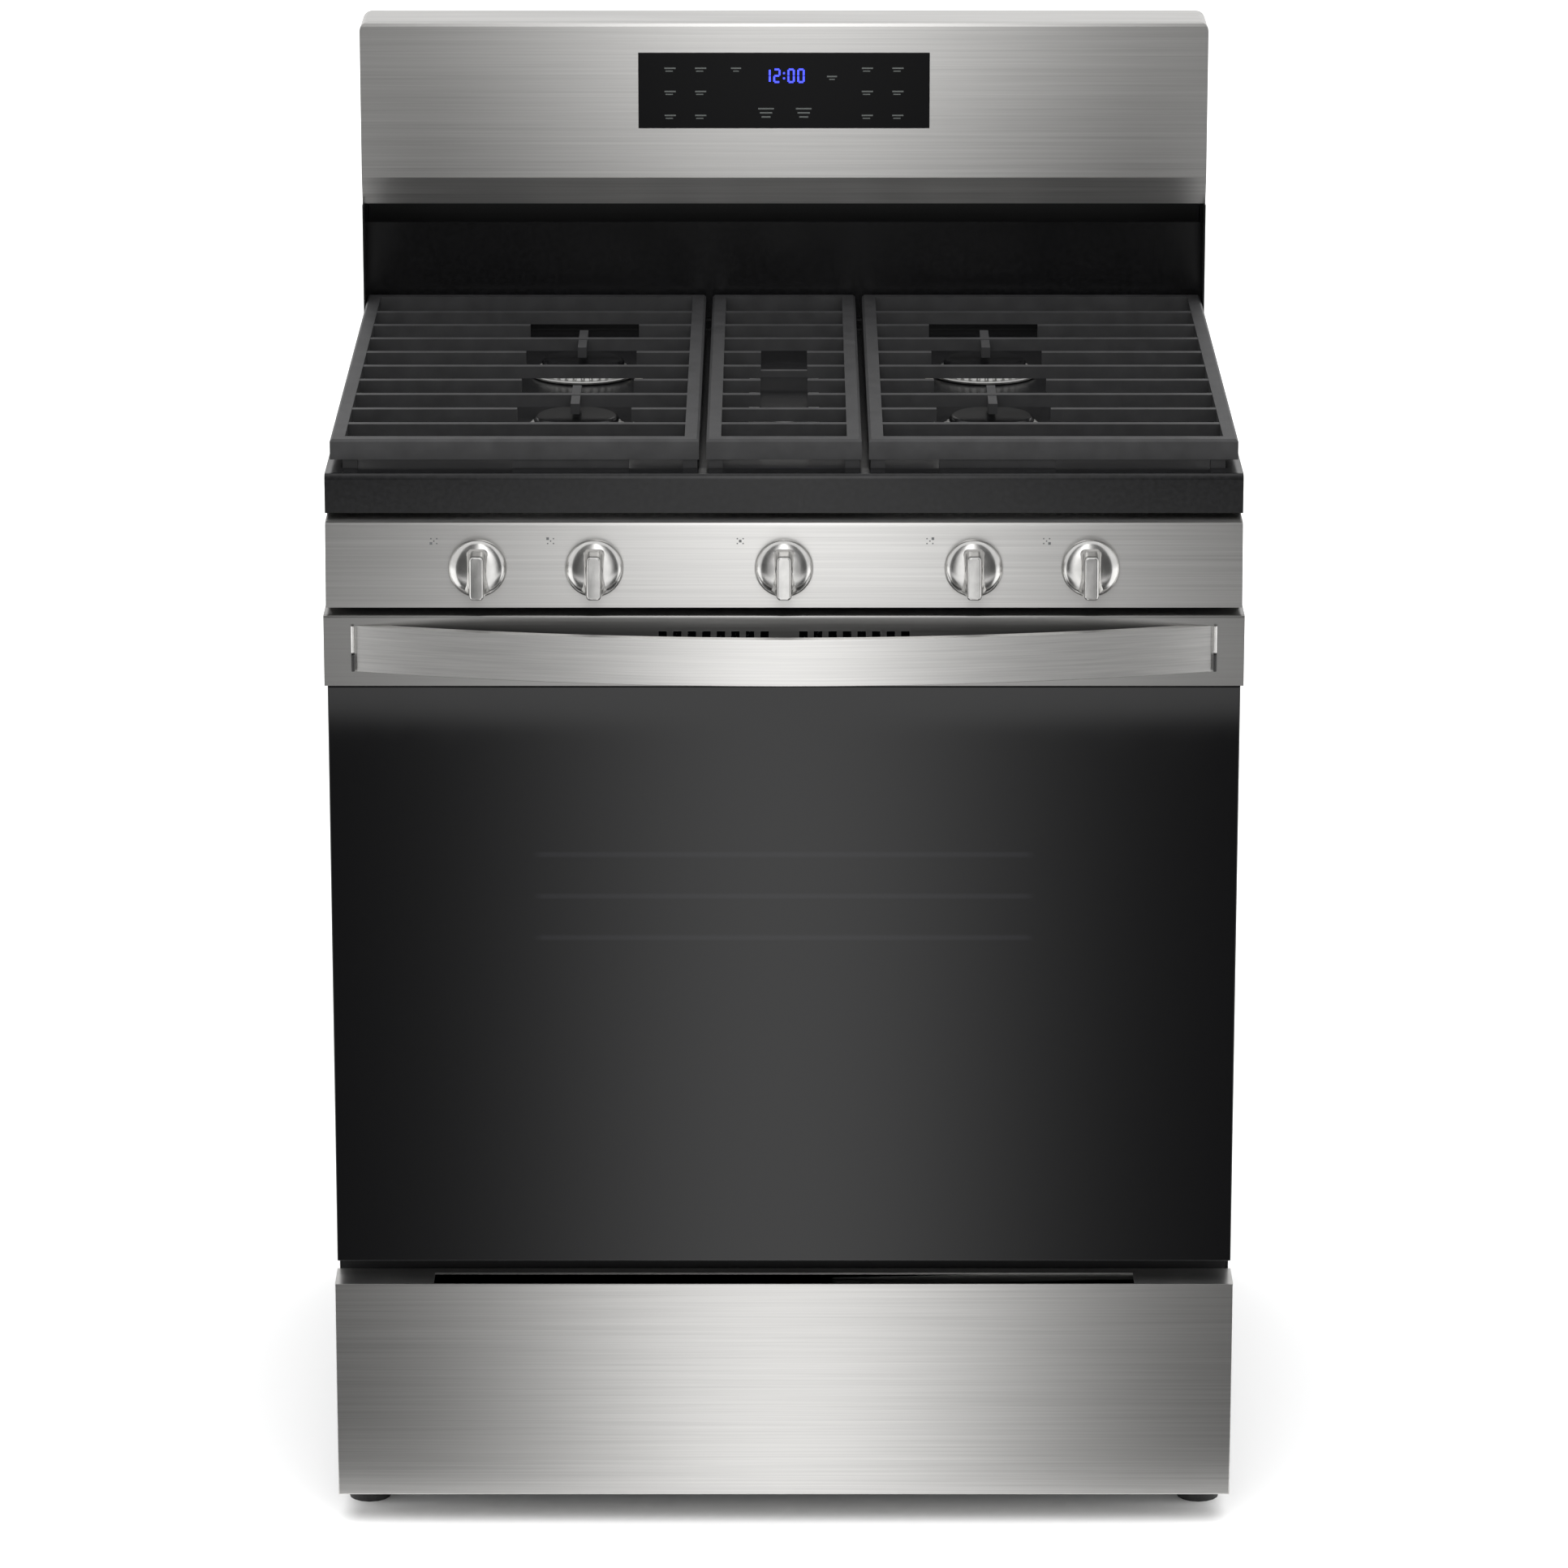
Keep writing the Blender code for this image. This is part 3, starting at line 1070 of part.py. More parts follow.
def gas_regulator():
    centre_d = BODY_DEPTH - REGULATOR_BACK
    half = REGULATOR_TALL / 2
    profile = [(0, half), (0.012, half), (0.012, half - 0.012), (REGULATOR_RADIUS, half - 0.018),
               (REGULATOR_RADIUS, -half + 0.012), (0.016, -half), (0, -half)]
    body = turned("gas_regulator", profile, 20, Matrix.Translation((INLET_X, at(centre_d), INLET_Z)),
                  "aluminium")
    turn = Matrix.Rotation(math.radians(-90), 4, "X")
    stub = Matrix.Translation((INLET_X, at(centre_d), INLET_Z)) @ turn
    join(body, rod_tool("inlet_stub", INLET_RADIUS, 0.004, REGULATOR_BACK - 0.001, 16, stub))
    cut(body, rod_tool("inlet_bore", INLET_RADIUS - 0.003, 0.035, REGULATOR_BACK + 0.01, 12, stub))


# ---------------------------------------------------------------- backguard

def backguard_riser():
    half = CONSOLE_HALF
    low = RIM + GAP
    riser = block("backguard_riser", (-half + 0.0005, half - 0.0005), (RISER_D, RISER_D + SHEET),
                  (low, RISER_TOP), "painted_black")
    cheeks = [((side_low, side_high), (CONSOLE_FRONT_D + 0.002, CONSOLE_REAR_D - GAP),
               (low + 0.0001, CONSOLE_BOTTOM - GAP))
              for side_low, side_high in ((-half, -half + SHEET), (half - SHEET, half))]
    join(riser, blocks_tool("riser_cheeks", cheeks))


def console_shell():
    half = CONSOLE_HALF
    front, rear = CONSOLE_FRONT_D, CONSOLE_REAR_D
    lip = CONSOLE_BOTTOM + CONSOLE_LIP_HEIGHT
    outer = [(front + CONSOLE_LIP_DEPTH, CONSOLE_BOTTOM), (rear, CONSOLE_BOTTOM), (rear, CONSOLE_TOP),
             (front + 0.004, CONSOLE_TOP), (front + 0.0012, CONSOLE_TOP - 0.0012),
             (front, CONSOLE_TOP - 0.004), (front, lip)]
    shell = outline("console_shell", outer, (-half, half), "X", "stainless")
    corner = rounded_corner_tool()
    boolean(shell, corner, "INTERSECT")
    inset = SHEET
    inner = [(front + CONSOLE_LIP_DEPTH + inset, CONSOLE_BOTTOM + inset), (rear + 0.01, CONSOLE_BOTTOM + inset),
             (rear + 0.01, CONSOLE_TOP - inset), (front + 0.005, CONSOLE_TOP - inset),
             (front + inset, CONSOLE_TOP - 0.005), (front + inset, lip)]
    cut(shell, outline("console_pocket", inner, (-half + CONSOLE_CORNER / 2, half - CONSOLE_CORNER / 2), "X",
                       cutter=True))
    top = CONSOLE_TOP - DISPLAY_DROP
    cut(shell, block("display_opening", (-DISPLAY_HALF, DISPLAY_HALF), (front - 0.01, front + 0.01),
                     (top - DISPLAY_HEIGHT, top), cutter=True))


def rounded_corner_tool():
    """A slab over the console whose two upper corners are round, seen from the front."""
    half = CONSOLE_HALF
    ds = (CONSOLE_FRONT_D - 0.01, CONSOLE_REAR_D + 0.01)
    slab = block("console_corner_slab", (-half, half), ds, (CONSOLE_BOTTOM - 0.01, CONSOLE_TOP), cutter=True)
    bm = bmesh.new()
    bm.from_mesh(slab.data)
    high = max(v.co.z for v in bm.verts)
    wide = max(v.co.x for v in bm.verts)
    edges = [e for e in bm.edges if all(v.co.z > high - 1e-4 and abs(v.co.x) > wide - 1e-4 for v in e.verts)
             and abs(e.verts[0].co.x - e.verts[1].co.x) < 1e-4]
    bmesh.ops.bevel(bm, geom=edges, offset=CONSOLE_CORNER, segments=4, profile=0.5, affect="EDGES")
    bm.to_mesh(slab.data)
    bm.free()
    return slab


def console_back():
    half = CONSOLE_HALF
    ds = (CONSOLE_REAR_D + GAP, BODY_DEPTH)
    zs = (RIM + GAP, CONSOLE_TOP - CONSOLE_COVER_DROP)
    cover = block("console_back", (-half, half), ds, zs, "galvanised")
    cut(cover, block("console_back_pocket", (-half + SHEET, half - SHEET), (ds[0] - 0.01, ds[1] - SHEET),
                     (zs[0] + SHEET, zs[1] - SHEET), cutter=True))


def control_glass():
    half = DISPLAY_HALF - GAP
    top = CONSOLE_TOP - DISPLAY_DROP - GAP
    front = CONSOLE_FRONT_D - DISPLAY_PROUD
    block("control_glass", (-half, half), (front, front + DISPLAY_THICK),
          (top - DISPLAY_HEIGHT + 2 * GAP, top), "black_glass")


def build_range():
    base_frame()
    feet()
    side_panels()
    rear_panel()
    oven_front_frame()
    oven_liner()
    oven_floor()
    oven_burners()
    oven_fittings()
    oven_rack("oven_rack_lower", LOWER_LEDGE)
    oven_rack("oven_rack_upper", UPPER_LEDGE)
    door_gasket()
    drawer_front()
    drawer_box()
    drawer_rails()
    door_glass()
    door_liner()
    door_window()
    door_trim()
    door_handle()
    hinge_arms()
    cooktop()
    burner_heads()
    burner_caps()
    side_grate("grate_left", -1)
    centre_grate()
    side_grate("grate_right", 1)
    control_panel()
    valve_stems()
    knobs()
    gas_manifold()
    gas_regulator()
    backguard_riser()
    console_shell()
    console_back()
    control_glass()


clear_scene()
parts = make_collection("gas_range")
cutters = make_collection("cutters")
finishes = {name: make_material(name) for name in MATERIALS}
build_range()
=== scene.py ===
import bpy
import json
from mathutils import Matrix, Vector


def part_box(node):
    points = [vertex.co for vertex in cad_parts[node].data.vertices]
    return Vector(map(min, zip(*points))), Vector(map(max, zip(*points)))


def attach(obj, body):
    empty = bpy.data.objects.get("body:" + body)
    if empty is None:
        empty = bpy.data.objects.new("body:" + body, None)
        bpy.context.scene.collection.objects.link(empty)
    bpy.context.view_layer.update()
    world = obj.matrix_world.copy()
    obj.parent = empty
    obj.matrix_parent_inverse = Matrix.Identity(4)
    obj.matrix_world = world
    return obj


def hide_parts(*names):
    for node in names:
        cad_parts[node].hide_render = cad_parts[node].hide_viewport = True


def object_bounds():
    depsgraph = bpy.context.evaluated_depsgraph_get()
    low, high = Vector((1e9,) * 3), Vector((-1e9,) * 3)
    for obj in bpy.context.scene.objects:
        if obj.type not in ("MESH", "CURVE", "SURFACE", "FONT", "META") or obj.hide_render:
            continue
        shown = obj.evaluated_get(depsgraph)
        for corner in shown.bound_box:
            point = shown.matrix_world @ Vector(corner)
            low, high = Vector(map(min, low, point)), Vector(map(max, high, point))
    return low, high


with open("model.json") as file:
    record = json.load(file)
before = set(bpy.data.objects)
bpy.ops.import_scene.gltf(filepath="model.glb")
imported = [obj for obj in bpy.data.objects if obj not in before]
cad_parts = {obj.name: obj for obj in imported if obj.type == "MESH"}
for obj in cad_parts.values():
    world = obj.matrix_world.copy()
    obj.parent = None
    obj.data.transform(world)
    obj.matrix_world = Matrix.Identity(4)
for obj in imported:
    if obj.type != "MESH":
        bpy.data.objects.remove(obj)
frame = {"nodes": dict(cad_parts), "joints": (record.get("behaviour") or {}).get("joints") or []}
CAD_BOX = [list(corner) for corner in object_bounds()]

# Freestanding gas range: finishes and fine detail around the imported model.
# Metres, +X to the viewer's right, -Y to the front, +Z up, origin on the floor.

import json
import math

import bmesh
import bpy
from mathutils import Matrix, Vector
from mathutils.bvhtree import BVHTree

bl_info = {
    "name": "Freestanding Gas Range",
    "version": (1, 0, 0),
    "blender": (4, 5, 0),
    "location": "View3D > Sidebar > Gas Range",
    "description": "Finishes and detail pieces for a five-burner gas range",
    "category": "Add Mesh",
}

MM = 0.001
BURNERS = ("front_left", "rear_left", "center", "rear_right", "front_right")
ROUND_BURNERS = ("front_left", "rear_left", "rear_right", "front_right")
SIDES = (("left", -1), ("right", 1))
INK_LIFT = 0.05 * MM          # printed marks stand this far off their glass or steel
GAP_UNDER_CAP = 0.3 * MM      # between a burner's head and the cap on it
RIM_HEIGHT = 7.5 * MM         # of a round burner's head above the cooktop
FOLD_ANGLE = 35               # degrees: edges sharper than this are rounded, flatter ones shade smooth
LIP_ANGLE = 12                # degrees: the console keeps the crease above its lip
NODES = frame["nodes"]


def linear(code):
    """Linear colour, with alpha, from an sRGB hex value."""
    parts = [int(code[i:i + 2], 16) / 255 for i in (1, 3, 5)]
    return tuple(c / 12.92 if c <= 0.04045 else ((c + 0.055) / 1.055) ** 2.4 for c in parts) + (1.0,)


def corners(node):
    """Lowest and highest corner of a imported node, as vectors."""
    low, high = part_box(node)
    return Vector(low), Vector(high)


def middle(node):
    low, high = corners(node)
    return (low + high) / 2


# ---------------------------------------------------------------- what a user may change

def colour(name, words, code):
    return bpy.props.FloatVectorProperty(name=name, description=words, subtype="COLOR", size=4,
                                         min=0.0, max=1.0, default=linear(code))


def length(name, words, default):
    return bpy.props.FloatProperty(name=name, description=words, unit="LENGTH", subtype="DISTANCE",
                                   default=default, min=0.0, precision=4)


class RangeColours(bpy.types.PropertyGroup):
    stainless: colour("Stainless", "Brushed stainless sheet", "#D2D1CF")
    enamel: colour("Enamel", "Black porcelain enamel on the cooktop and riser", "#0E0E0F")
    iron: colour("Cast iron", "Enamelled cast iron of the grates", "#2B2B2C")
    glass: colour("Door glass", "Black printed glass of the door and display", "#050506")
    side_paint: colour("Side paint", "Textured paint on the cabinet sides", "#161617")
    oven: colour("Oven enamel", "Ground coat inside the oven", "#23262B")
    digits: colour("Digits", "Lit digits of the clock", "#3A46FF")
    ink: colour("Ink", "Printed marks on the display", "#565A58")


class RangeSizes(bpy.types.PropertyGroup):
    edge: length("Sheet edge", "Rounding of folded sheet edges", 0.8 * MM)
    iron_edge: length("Iron edge", "Rounding of cast edges", 1.2 * MM)
    port_depth: length("Port depth", "Depth of a flame port", 3.0 * MM)
    screw: length("Screw head", "Radius of a sheet-metal screw's head", 4.0 * MM)
    digit: length("Digit height", "Height of the clock's digits", 13.0 * MM)


class RangeStage(bpy.types.PropertyGroup):
    distance: length("Camera distance", "Camera to the middle of the range, along the floor", 6.151)
    height: length("Camera height", "Camera above the floor", 2.290)
    tilt: bpy.props.FloatProperty(name="Tilt", description="Camera's look below the horizon",
                                  subtype="ANGLE", unit="ROTATION", default=math.radians(15.66))
    lens: bpy.props.FloatProperty(name="Lens", description="Focal length on a 36 mm sensor, in mm",
                                  default=167.8, min=10.0)
    floor: colour("Floor", "Pale studio floor", "#F6F6F6")
    ambient: bpy.props.FloatProperty(name="Ambient", description="Strength of the white surroundings",
                                     default=0.95, min=0.0)
    overhead: bpy.props.FloatProperty(name="Overhead", description="Strength of the soft overhead light",
                                      default=2.6, min=0.0)
    glow: bpy.props.FloatProperty(name="Glow", description="Brightness of the graded light panels",
                                  default=1.3, min=0.0)
    glow_high: bpy.props.FloatProperty(name="High glow", description="Brightness at the panels' top",
                                       default=2.9, min=0.0)
    glow_width: length("Glow width", "Half width of the panels' bright middle, by the range", 0.21)


# ---------------------------------------------------------------- materials

def add_node(material, kind, settings=(), links=()):
    """Add a node, set its properties, sockets and colour stops, and link sources into its inputs."""
    tree = material.node_tree
    node = tree.nodes.new(kind)
    for key, value in dict(settings).items():
        if key == "stops":
            points = node.color_ramp.elements
            while len(points) < len(value):
                points.new(0.5)
            for point, (position, tint) in zip(points, value):
                point.position = position
                point.color = tint
        elif isinstance(key, int) or key in node.inputs:
            node.inputs[key].default_value = value
        else:
            setattr(node, key, value)
    for key, source in dict(links).items():
        tree.links.new(source, node.inputs[key])
    return node


def new_finish(name, base, metallic, roughness, **more):
    """A material with one Principled shader, its even values set on the shader's own sockets."""
    material = bpy.data.materials.new(name)
    material.use_nodes = True
    shader = material.node_tree.nodes["Principled BSDF"]
    shader.inputs["Base Color"].default_value = tuple(base)
    shader.inputs["Metallic"].default_value = metallic
    shader.inputs["Roughness"].default_value = roughness
    for socket, value in more.items():
        shader.inputs[socket.replace("_", " ")].default_value = value
    place = add_node(material, "ShaderNodeTexCoord")
    return material, shader, place.outputs["Object"]


def shade(base, factor):
    """A colour made darker or lighter, at full alpha."""
    return tuple(min(1.0, c * factor) for c in tuple(base)[:3]) + (1.0,)


def link(material, source, shader, socket):
    material.node_tree.links.new(source, shader.inputs[socket])


def brushed_stainless(colours, name, low, high, streak, lift=1.0):
    """430 stainless sheet, belt-ground along its length: fine level lines that draw light up and down."""
    # A lift above 1.0 gives a lighter copy of the stainless: painted light
    base = shade(colours.stainless, lift)
    material, shader, place = new_finish(name, base, 1.0, (low + high) / 2,
                                         Anisotropic=streak, Anisotropic_Rotation=0.25)
    along = add_node(material, "ShaderNodeCombineXYZ", {"X": 1.0})
    link(material, along.outputs["Vector"], shader, "Tangent")
    # Grinding lines are 0.1 to 0.3 mm apart; drawn 1.5 mm apart so that they show
    lines = add_node(material, "ShaderNodeMapping", {"Scale": (4.0, 60.0, 650.0)}, {"Vector": place})
    grain = add_node(material, "ShaderNodeTexNoise", {"Scale": 1.0, "Detail": 3.0, "Roughness": 0.6},
                     {"Vector": lines.outputs["Vector"]})
    tone = add_node(material, "ShaderNodeValToRGB",
                    {"stops": ((0.25, shade(base, 0.86)), (0.75, shade(base, 1.08)))},
                    {"Fac": grain.outputs["Fac"]})
    link(material, tone.outputs["Color"], shader, "Base Color")
    rough = add_node(material, "ShaderNodeMapRange", {"To Min": low, "To Max": high},
                     {"Value": grain.outputs["Fac"]})
    link(material, rough.outputs["Result"], shader, "Roughness")
    relief = add_node(material, "ShaderNodeBump", {"Strength": 0.35, "Distance": 0.02 * MM},
                      {"Height": grain.outputs["Fac"]})
    link(material, relief.outputs["Normal"], shader, "Normal")
    return material


def satin_stainless(colours):
    """Brushed stainless at 0.55 of its colour and rougher: painted shade on the door's trim, standing for
    the handle's dark reflection on it; greyer than flat ground sheet.
    """
    # 0.55 of the stainless's colour: painted shade
    base = shade(colours.stainless, 0.55)
    material, shader, place = new_finish("satin_stainless", base, 1.0, 0.30,
                                         Anisotropic=0.5, Anisotropic_Rotation=0.25)
    along = add_node(material, "ShaderNodeCombineXYZ", {"X": 1.0})
    link(material, along.outputs["Vector"], shader, "Tangent")
    lines = add_node(material, "ShaderNodeMapping", {"Scale": (6.0, 200.0, 500.0)}, {"Vector": place})
    grain = add_node(material, "ShaderNodeTexNoise", {"Scale": 1.0, "Detail": 2.0},
                     {"Vector": lines.outputs["Vector"]})
    tone = add_node(material, "ShaderNodeValToRGB",
                    {"stops": ((0.3, shade(base, 0.94)), (0.7, shade(base, 1.04)))},
                    {"Fac": grain.outputs["Fac"]})
    link(material, tone.outputs["Color"], shader, "Base Color")
    rough = add_node(material, "ShaderNodeMapRange", {"To Min": 0.25, "To Max": 0.34},
                     {"Value": grain.outputs["Fac"]})
    link(material, rough.outputs["Result"], shader, "Roughness")
    return material


def black_enamel(colours):
    """Black porcelain enamel fired on steel: deep gloss with a slow orange-peel wave and faint pits."""
    material, shader, place = new_finish("black_enamel", colours.enamel, 0.0, 0.22, IOR=1.5,
                                         Specular_IOR_Level=0.38)
    peel = add_node(material, "ShaderNodeTexNoise", {"Scale": 260.0, "Detail": 2.0}, {"Vector": place})
    cloud = add_node(material, "ShaderNodeTexNoise", {"Scale": 14.0, "Detail": 3.0}, {"Vector": place})
    rough = add_node(material, "ShaderNodeMapRange", {"To Min": 0.17, "To Max": 0.30},
                     {"Value": cloud.outputs["Fac"]})
    link(material, rough.outputs["Result"], shader, "Roughness")
    tone = add_node(material, "ShaderNodeValToRGB",
                    {"stops": ((0.35, shade(colours.enamel, 0.8)),
                               (0.70, shade(colours.enamel, 1.6)))},
                    {"Fac": peel.outputs["Fac"]})
    link(material, tone.outputs["Color"], shader, "Base Color")
    relief = add_node(material, "ShaderNodeBump", {"Strength": 0.25, "Distance": 0.05 * MM},
                      {"Height": peel.outputs["Fac"]})
    link(material, relief.outputs["Normal"], shader, "Normal")
    return material


def cast_iron(colours):
    """Grey iron cast in sand under matt black enamel: a dull, slightly grainy skin."""
    material, shader, place = new_finish("cast_iron", colours.iron, 0.0, 0.55, IOR=1.5)
    sand = add_node(material, "ShaderNodeTexNoise", {"Scale": 900.0, "Detail": 3.0}, {"Vector": place})
    wave = add_node(material, "ShaderNodeTexNoise", {"Scale": 60.0, "Detail": 4.0}, {"Vector": place})
    tone = add_node(material, "ShaderNodeValToRGB",
                    {"stops": ((0.30, shade(colours.iron, 0.8)),
                               (0.75, shade(colours.iron, 1.25)))},
                    {"Fac": wave.outputs["Fac"]})
    link(material, tone.outputs["Color"], shader, "Base Color")
    rough = add_node(material, "ShaderNodeMapRange", {"To Min": 0.46, "To Max": 0.64},
                     {"Value": sand.outputs["Fac"]})
    link(material, rough.outputs["Result"], shader, "Roughness")
    coarse = add_node(material, "ShaderNodeBump", {"Strength": 0.35, "Distance": 0.25 * MM},
                      {"Height": wave.outputs["Fac"]})
    fine = add_node(material, "ShaderNodeBump", {"Strength": 0.4, "Distance": 0.08 * MM},
                    {"Height": sand.outputs["Fac"], "Normal": coarse.outputs["Normal"]})
    link(material, fine.outputs["Normal"], shader, "Normal")
    return material


def door_glass(colours):
    """Tempered float glass with black ceramic print fired on its back: near-perfect gloss, and over the
    window the upper rack's wires painted into its colour as faint lighter lines."""
    material, shader, place = new_finish("black_glass", colours.glass, 0.0, 0.07, IOR=1.52)
    split = add_node(material, "ShaderNodeSeparateXYZ", {}, {"Vector": place})
    low, high = corners("door_window")
    span = add_node(material, "ShaderNodeMath", {"operation": "ABSOLUTE"}, {0: split.outputs["X"]})
    inside_x = add_node(material, "ShaderNodeMapRange",
                        {"From Min": high.x + 0.004, "From Max": high.x - 0.004},
                        {"Value": span.outputs["Value"]})
    # Level wires of the upper rack, 36 mm apart, painted into the glass's colour as soft lighter lines: a
    # painted view of the lit racks behind
    painted_wires = None
    for rise in (-33 * MM, 3 * MM, 39 * MM):
        away = add_node(material, "ShaderNodeMath",
                        {"operation": "SUBTRACT", 1: middle("oven_rack_upper").z + rise},
                        {0: split.outputs["Z"]})
        size = add_node(material, "ShaderNodeMath", {"operation": "ABSOLUTE"},
                        {0: away.outputs["Value"]})
        line = add_node(material, "ShaderNodeMapRange", {"From Min": 3 * MM, "From Max": 1 * MM},
                        {"Value": size.outputs["Value"]})
        if painted_wires:
            line = add_node(material, "ShaderNodeMath", {"operation": "MAXIMUM"},
                            {0: painted_wires, 1: line.outputs["Result"]})
        painted_wires = line.outputs[0]
    painted_rack_lines = add_node(material, "ShaderNodeMath", {"operation": "MULTIPLY"},
                    {0: painted_wires, 1: inside_x.outputs["Result"]})
    # Where the wires are, the glass's colour is painted 4.5 times lighter: painted light
    tone = add_node(material, "ShaderNodeValToRGB",
                    {"stops": ((0.0, tuple(colours.glass)), (1.0, shade(colours.glass, 4.5)))},
                    {"Fac": painted_rack_lines.outputs["Value"]})
    link(material, tone.outputs["Color"], shader, "Base Color")
    haze = add_node(material, "ShaderNodeTexNoise", {"Scale": 30.0, "Detail": 2.0}, {"Vector": place})
    rough = add_node(material, "ShaderNodeMapRange", {"To Min": 0.05, "To Max": 0.09},
                     {"Value": haze.outputs["Fac"]})
    link(material, rough.outputs["Result"], shader, "Roughness")
    return material


def plain_glass(name, base, roughness):
    """Float glass in a dark holder: smooth, with a trace of haze from wiping."""
    material, shader, place = new_finish(name, base, 0.0, roughness, IOR=1.52)
    haze = add_node(material, "ShaderNodeTexNoise", {"Scale": 40.0, "Detail": 2.0}, {"Vector": place})
    rough = add_node(material, "ShaderNodeMapRange",
                     {"To Min": roughness * 0.7, "To Max": roughness * 1.4},
                     {"Value": haze.outputs["Fac"]})
    link(material, rough.outputs["Result"], shader, "Roughness")
    tone = add_node(material, "ShaderNodeValToRGB",
                    {"stops": ((0.3, shade(base, 0.9)), (0.8, shade(base, 1.2)))},
                    {"Fac": haze.outputs["Fac"]})
    link(material, tone.outputs["Color"], shader, "Base Color")
    return material


def display_acrylic(colours):
    """Smoked acrylic with an anti-glare hard coat: near black, and it hardly mirrors."""
    material, shader, place = new_finish("display_acrylic", colours.glass, 0.0, 0.20, IOR=1.49,
                                         Specular_IOR_Level=0.12)
    haze = add_node(material, "ShaderNodeTexNoise", {"Scale": 500.0, "Detail": 2.0}, {"Vector": place})
    rough = add_node(material, "ShaderNodeMapRange", {"To Min": 0.16, "To Max": 0.26},
                     {"Value": haze.outputs["Fac"]})
    link(material, rough.outputs["Result"], shader, "Roughness")
    tone = add_node(material, "ShaderNodeValToRGB",
                    {"stops": ((0.3, shade(colours.glass, 0.8)), (0.8, shade(colours.glass, 1.5)))},
                    {"Fac": haze.outputs["Fac"]})
    link(material, tone.outputs["Color"], shader, "Base Color")
    return material


def textured_paint(colours):
    """Polyester powder coat with a fine wrinkle: matt black that breaks highlights into grains."""
    material, shader, place = new_finish("textured_paint", colours.side_paint, 0.0, 0.5, IOR=1.5)
    grit = add_node(material, "ShaderNodeTexNoise", {"Scale": 700.0, "Detail": 2.0}, {"Vector": place})
    tone = add_node(material, "ShaderNodeValToRGB",
                    {"stops": ((0.35, shade(colours.side_paint, 0.8)),
                               (0.70, shade(colours.side_paint, 1.4)))},
                    {"Fac": grit.outputs["Fac"]})
    link(material, tone.outputs["Color"], shader, "Base Color")
    rough = add_node(material, "ShaderNodeMapRange", {"To Min": 0.42, "To Max": 0.60},
                     {"Value": grit.outputs["Fac"]})
    link(material, rough.outputs["Result"], shader, "Roughness")
    relief = add_node(material, "ShaderNodeBump", {"Strength": 0.5, "Distance": 0.12 * MM},
                      {"Height": grit.outputs["Fac"]})
    link(material, relief.outputs["Normal"], shader, "Normal")
    return material


def oven_enamel(colours):
    """Ground-coat enamel of an oven: dark blue-grey glaze with pale flecks under 1 mm across."""
    material, shader, place = new_finish("oven_enamel", colours.oven, 0.0, 0.30, IOR=1.5)
    cells = add_node(material, "ShaderNodeTexVoronoi", {"Scale": 300.0}, {"Vector": place})
    fleck = add_node(material, "ShaderNodeValToRGB",
                     {"stops": ((0.14, linear("#7C8187")), (0.20, tuple(colours.oven)))},
                     {"Fac": cells.outputs["Distance"]})
    link(material, fleck.outputs["Color"], shader, "Base Color")
    wave = add_node(material, "ShaderNodeTexNoise", {"Scale": 220.0}, {"Vector": place})
    relief = add_node(material, "ShaderNodeBump", {"Strength": 0.25, "Distance": 0.05 * MM},
                      {"Height": wave.outputs["Fac"]})
    link(material, relief.outputs["Normal"], shader, "Normal")
    return material


def cast_aluminium(name, code, roughness):
    """Die-cast aluminium, tumbled: pale and satin, with a slight cloudiness from heat."""
    base = linear(code)
    material, shader, place = new_finish(name, base, 1.0, roughness)
    cloud = add_node(material, "ShaderNodeTexNoise", {"Scale": 90.0, "Detail": 4.0}, {"Vector": place})
    grain = add_node(material, "ShaderNodeTexNoise", {"Scale": 1400.0, "Detail": 2.0}, {"Vector": place})
    tone = add_node(material, "ShaderNodeValToRGB",
                    {"stops": ((0.3, shade(base, 0.84)), (0.7, base))},
                    {"Fac": cloud.outputs["Fac"]})
    link(material, tone.outputs["Color"], shader, "Base Color")
    rough = add_node(material, "ShaderNodeMapRange",
                     {"To Min": roughness * 0.85, "To Max": roughness * 1.2},
                     {"Value": cloud.outputs["Fac"]})
    link(material, rough.outputs["Result"], shader, "Roughness")
    relief = add_node(material, "ShaderNodeBump", {"Strength": 0.3, "Distance": 0.04 * MM},
                      {"Height": grain.outputs["Fac"]})
    link(material, relief.outputs["Normal"], shader, "Normal")
    return material


def drawn_metal(name, code, roughness, scale):
    """Drawn or plated steel: even and bright, with faint drawing lines."""
    base = linear(code)
    material, shader, place = new_finish(name, base, 1.0, roughness)
    lines = add_node(material, "ShaderNodeTexNoise", {"Scale": scale, "Detail": 2.0}, {"Vector": place})
    tone = add_node(material, "ShaderNodeValToRGB",
                    {"stops": ((0.3, shade(base, 0.88)), (0.7, base))},
                    {"Fac": lines.outputs["Fac"]})
    link(material, tone.outputs["Color"], shader, "Base Color")
    rough = add_node(material, "ShaderNodeMapRange",
                     {"To Min": roughness * 0.8, "To Max": roughness * 1.3},
                     {"Value": lines.outputs["Fac"]})
    link(material, rough.outputs["Result"], shader, "Roughness")
    return material


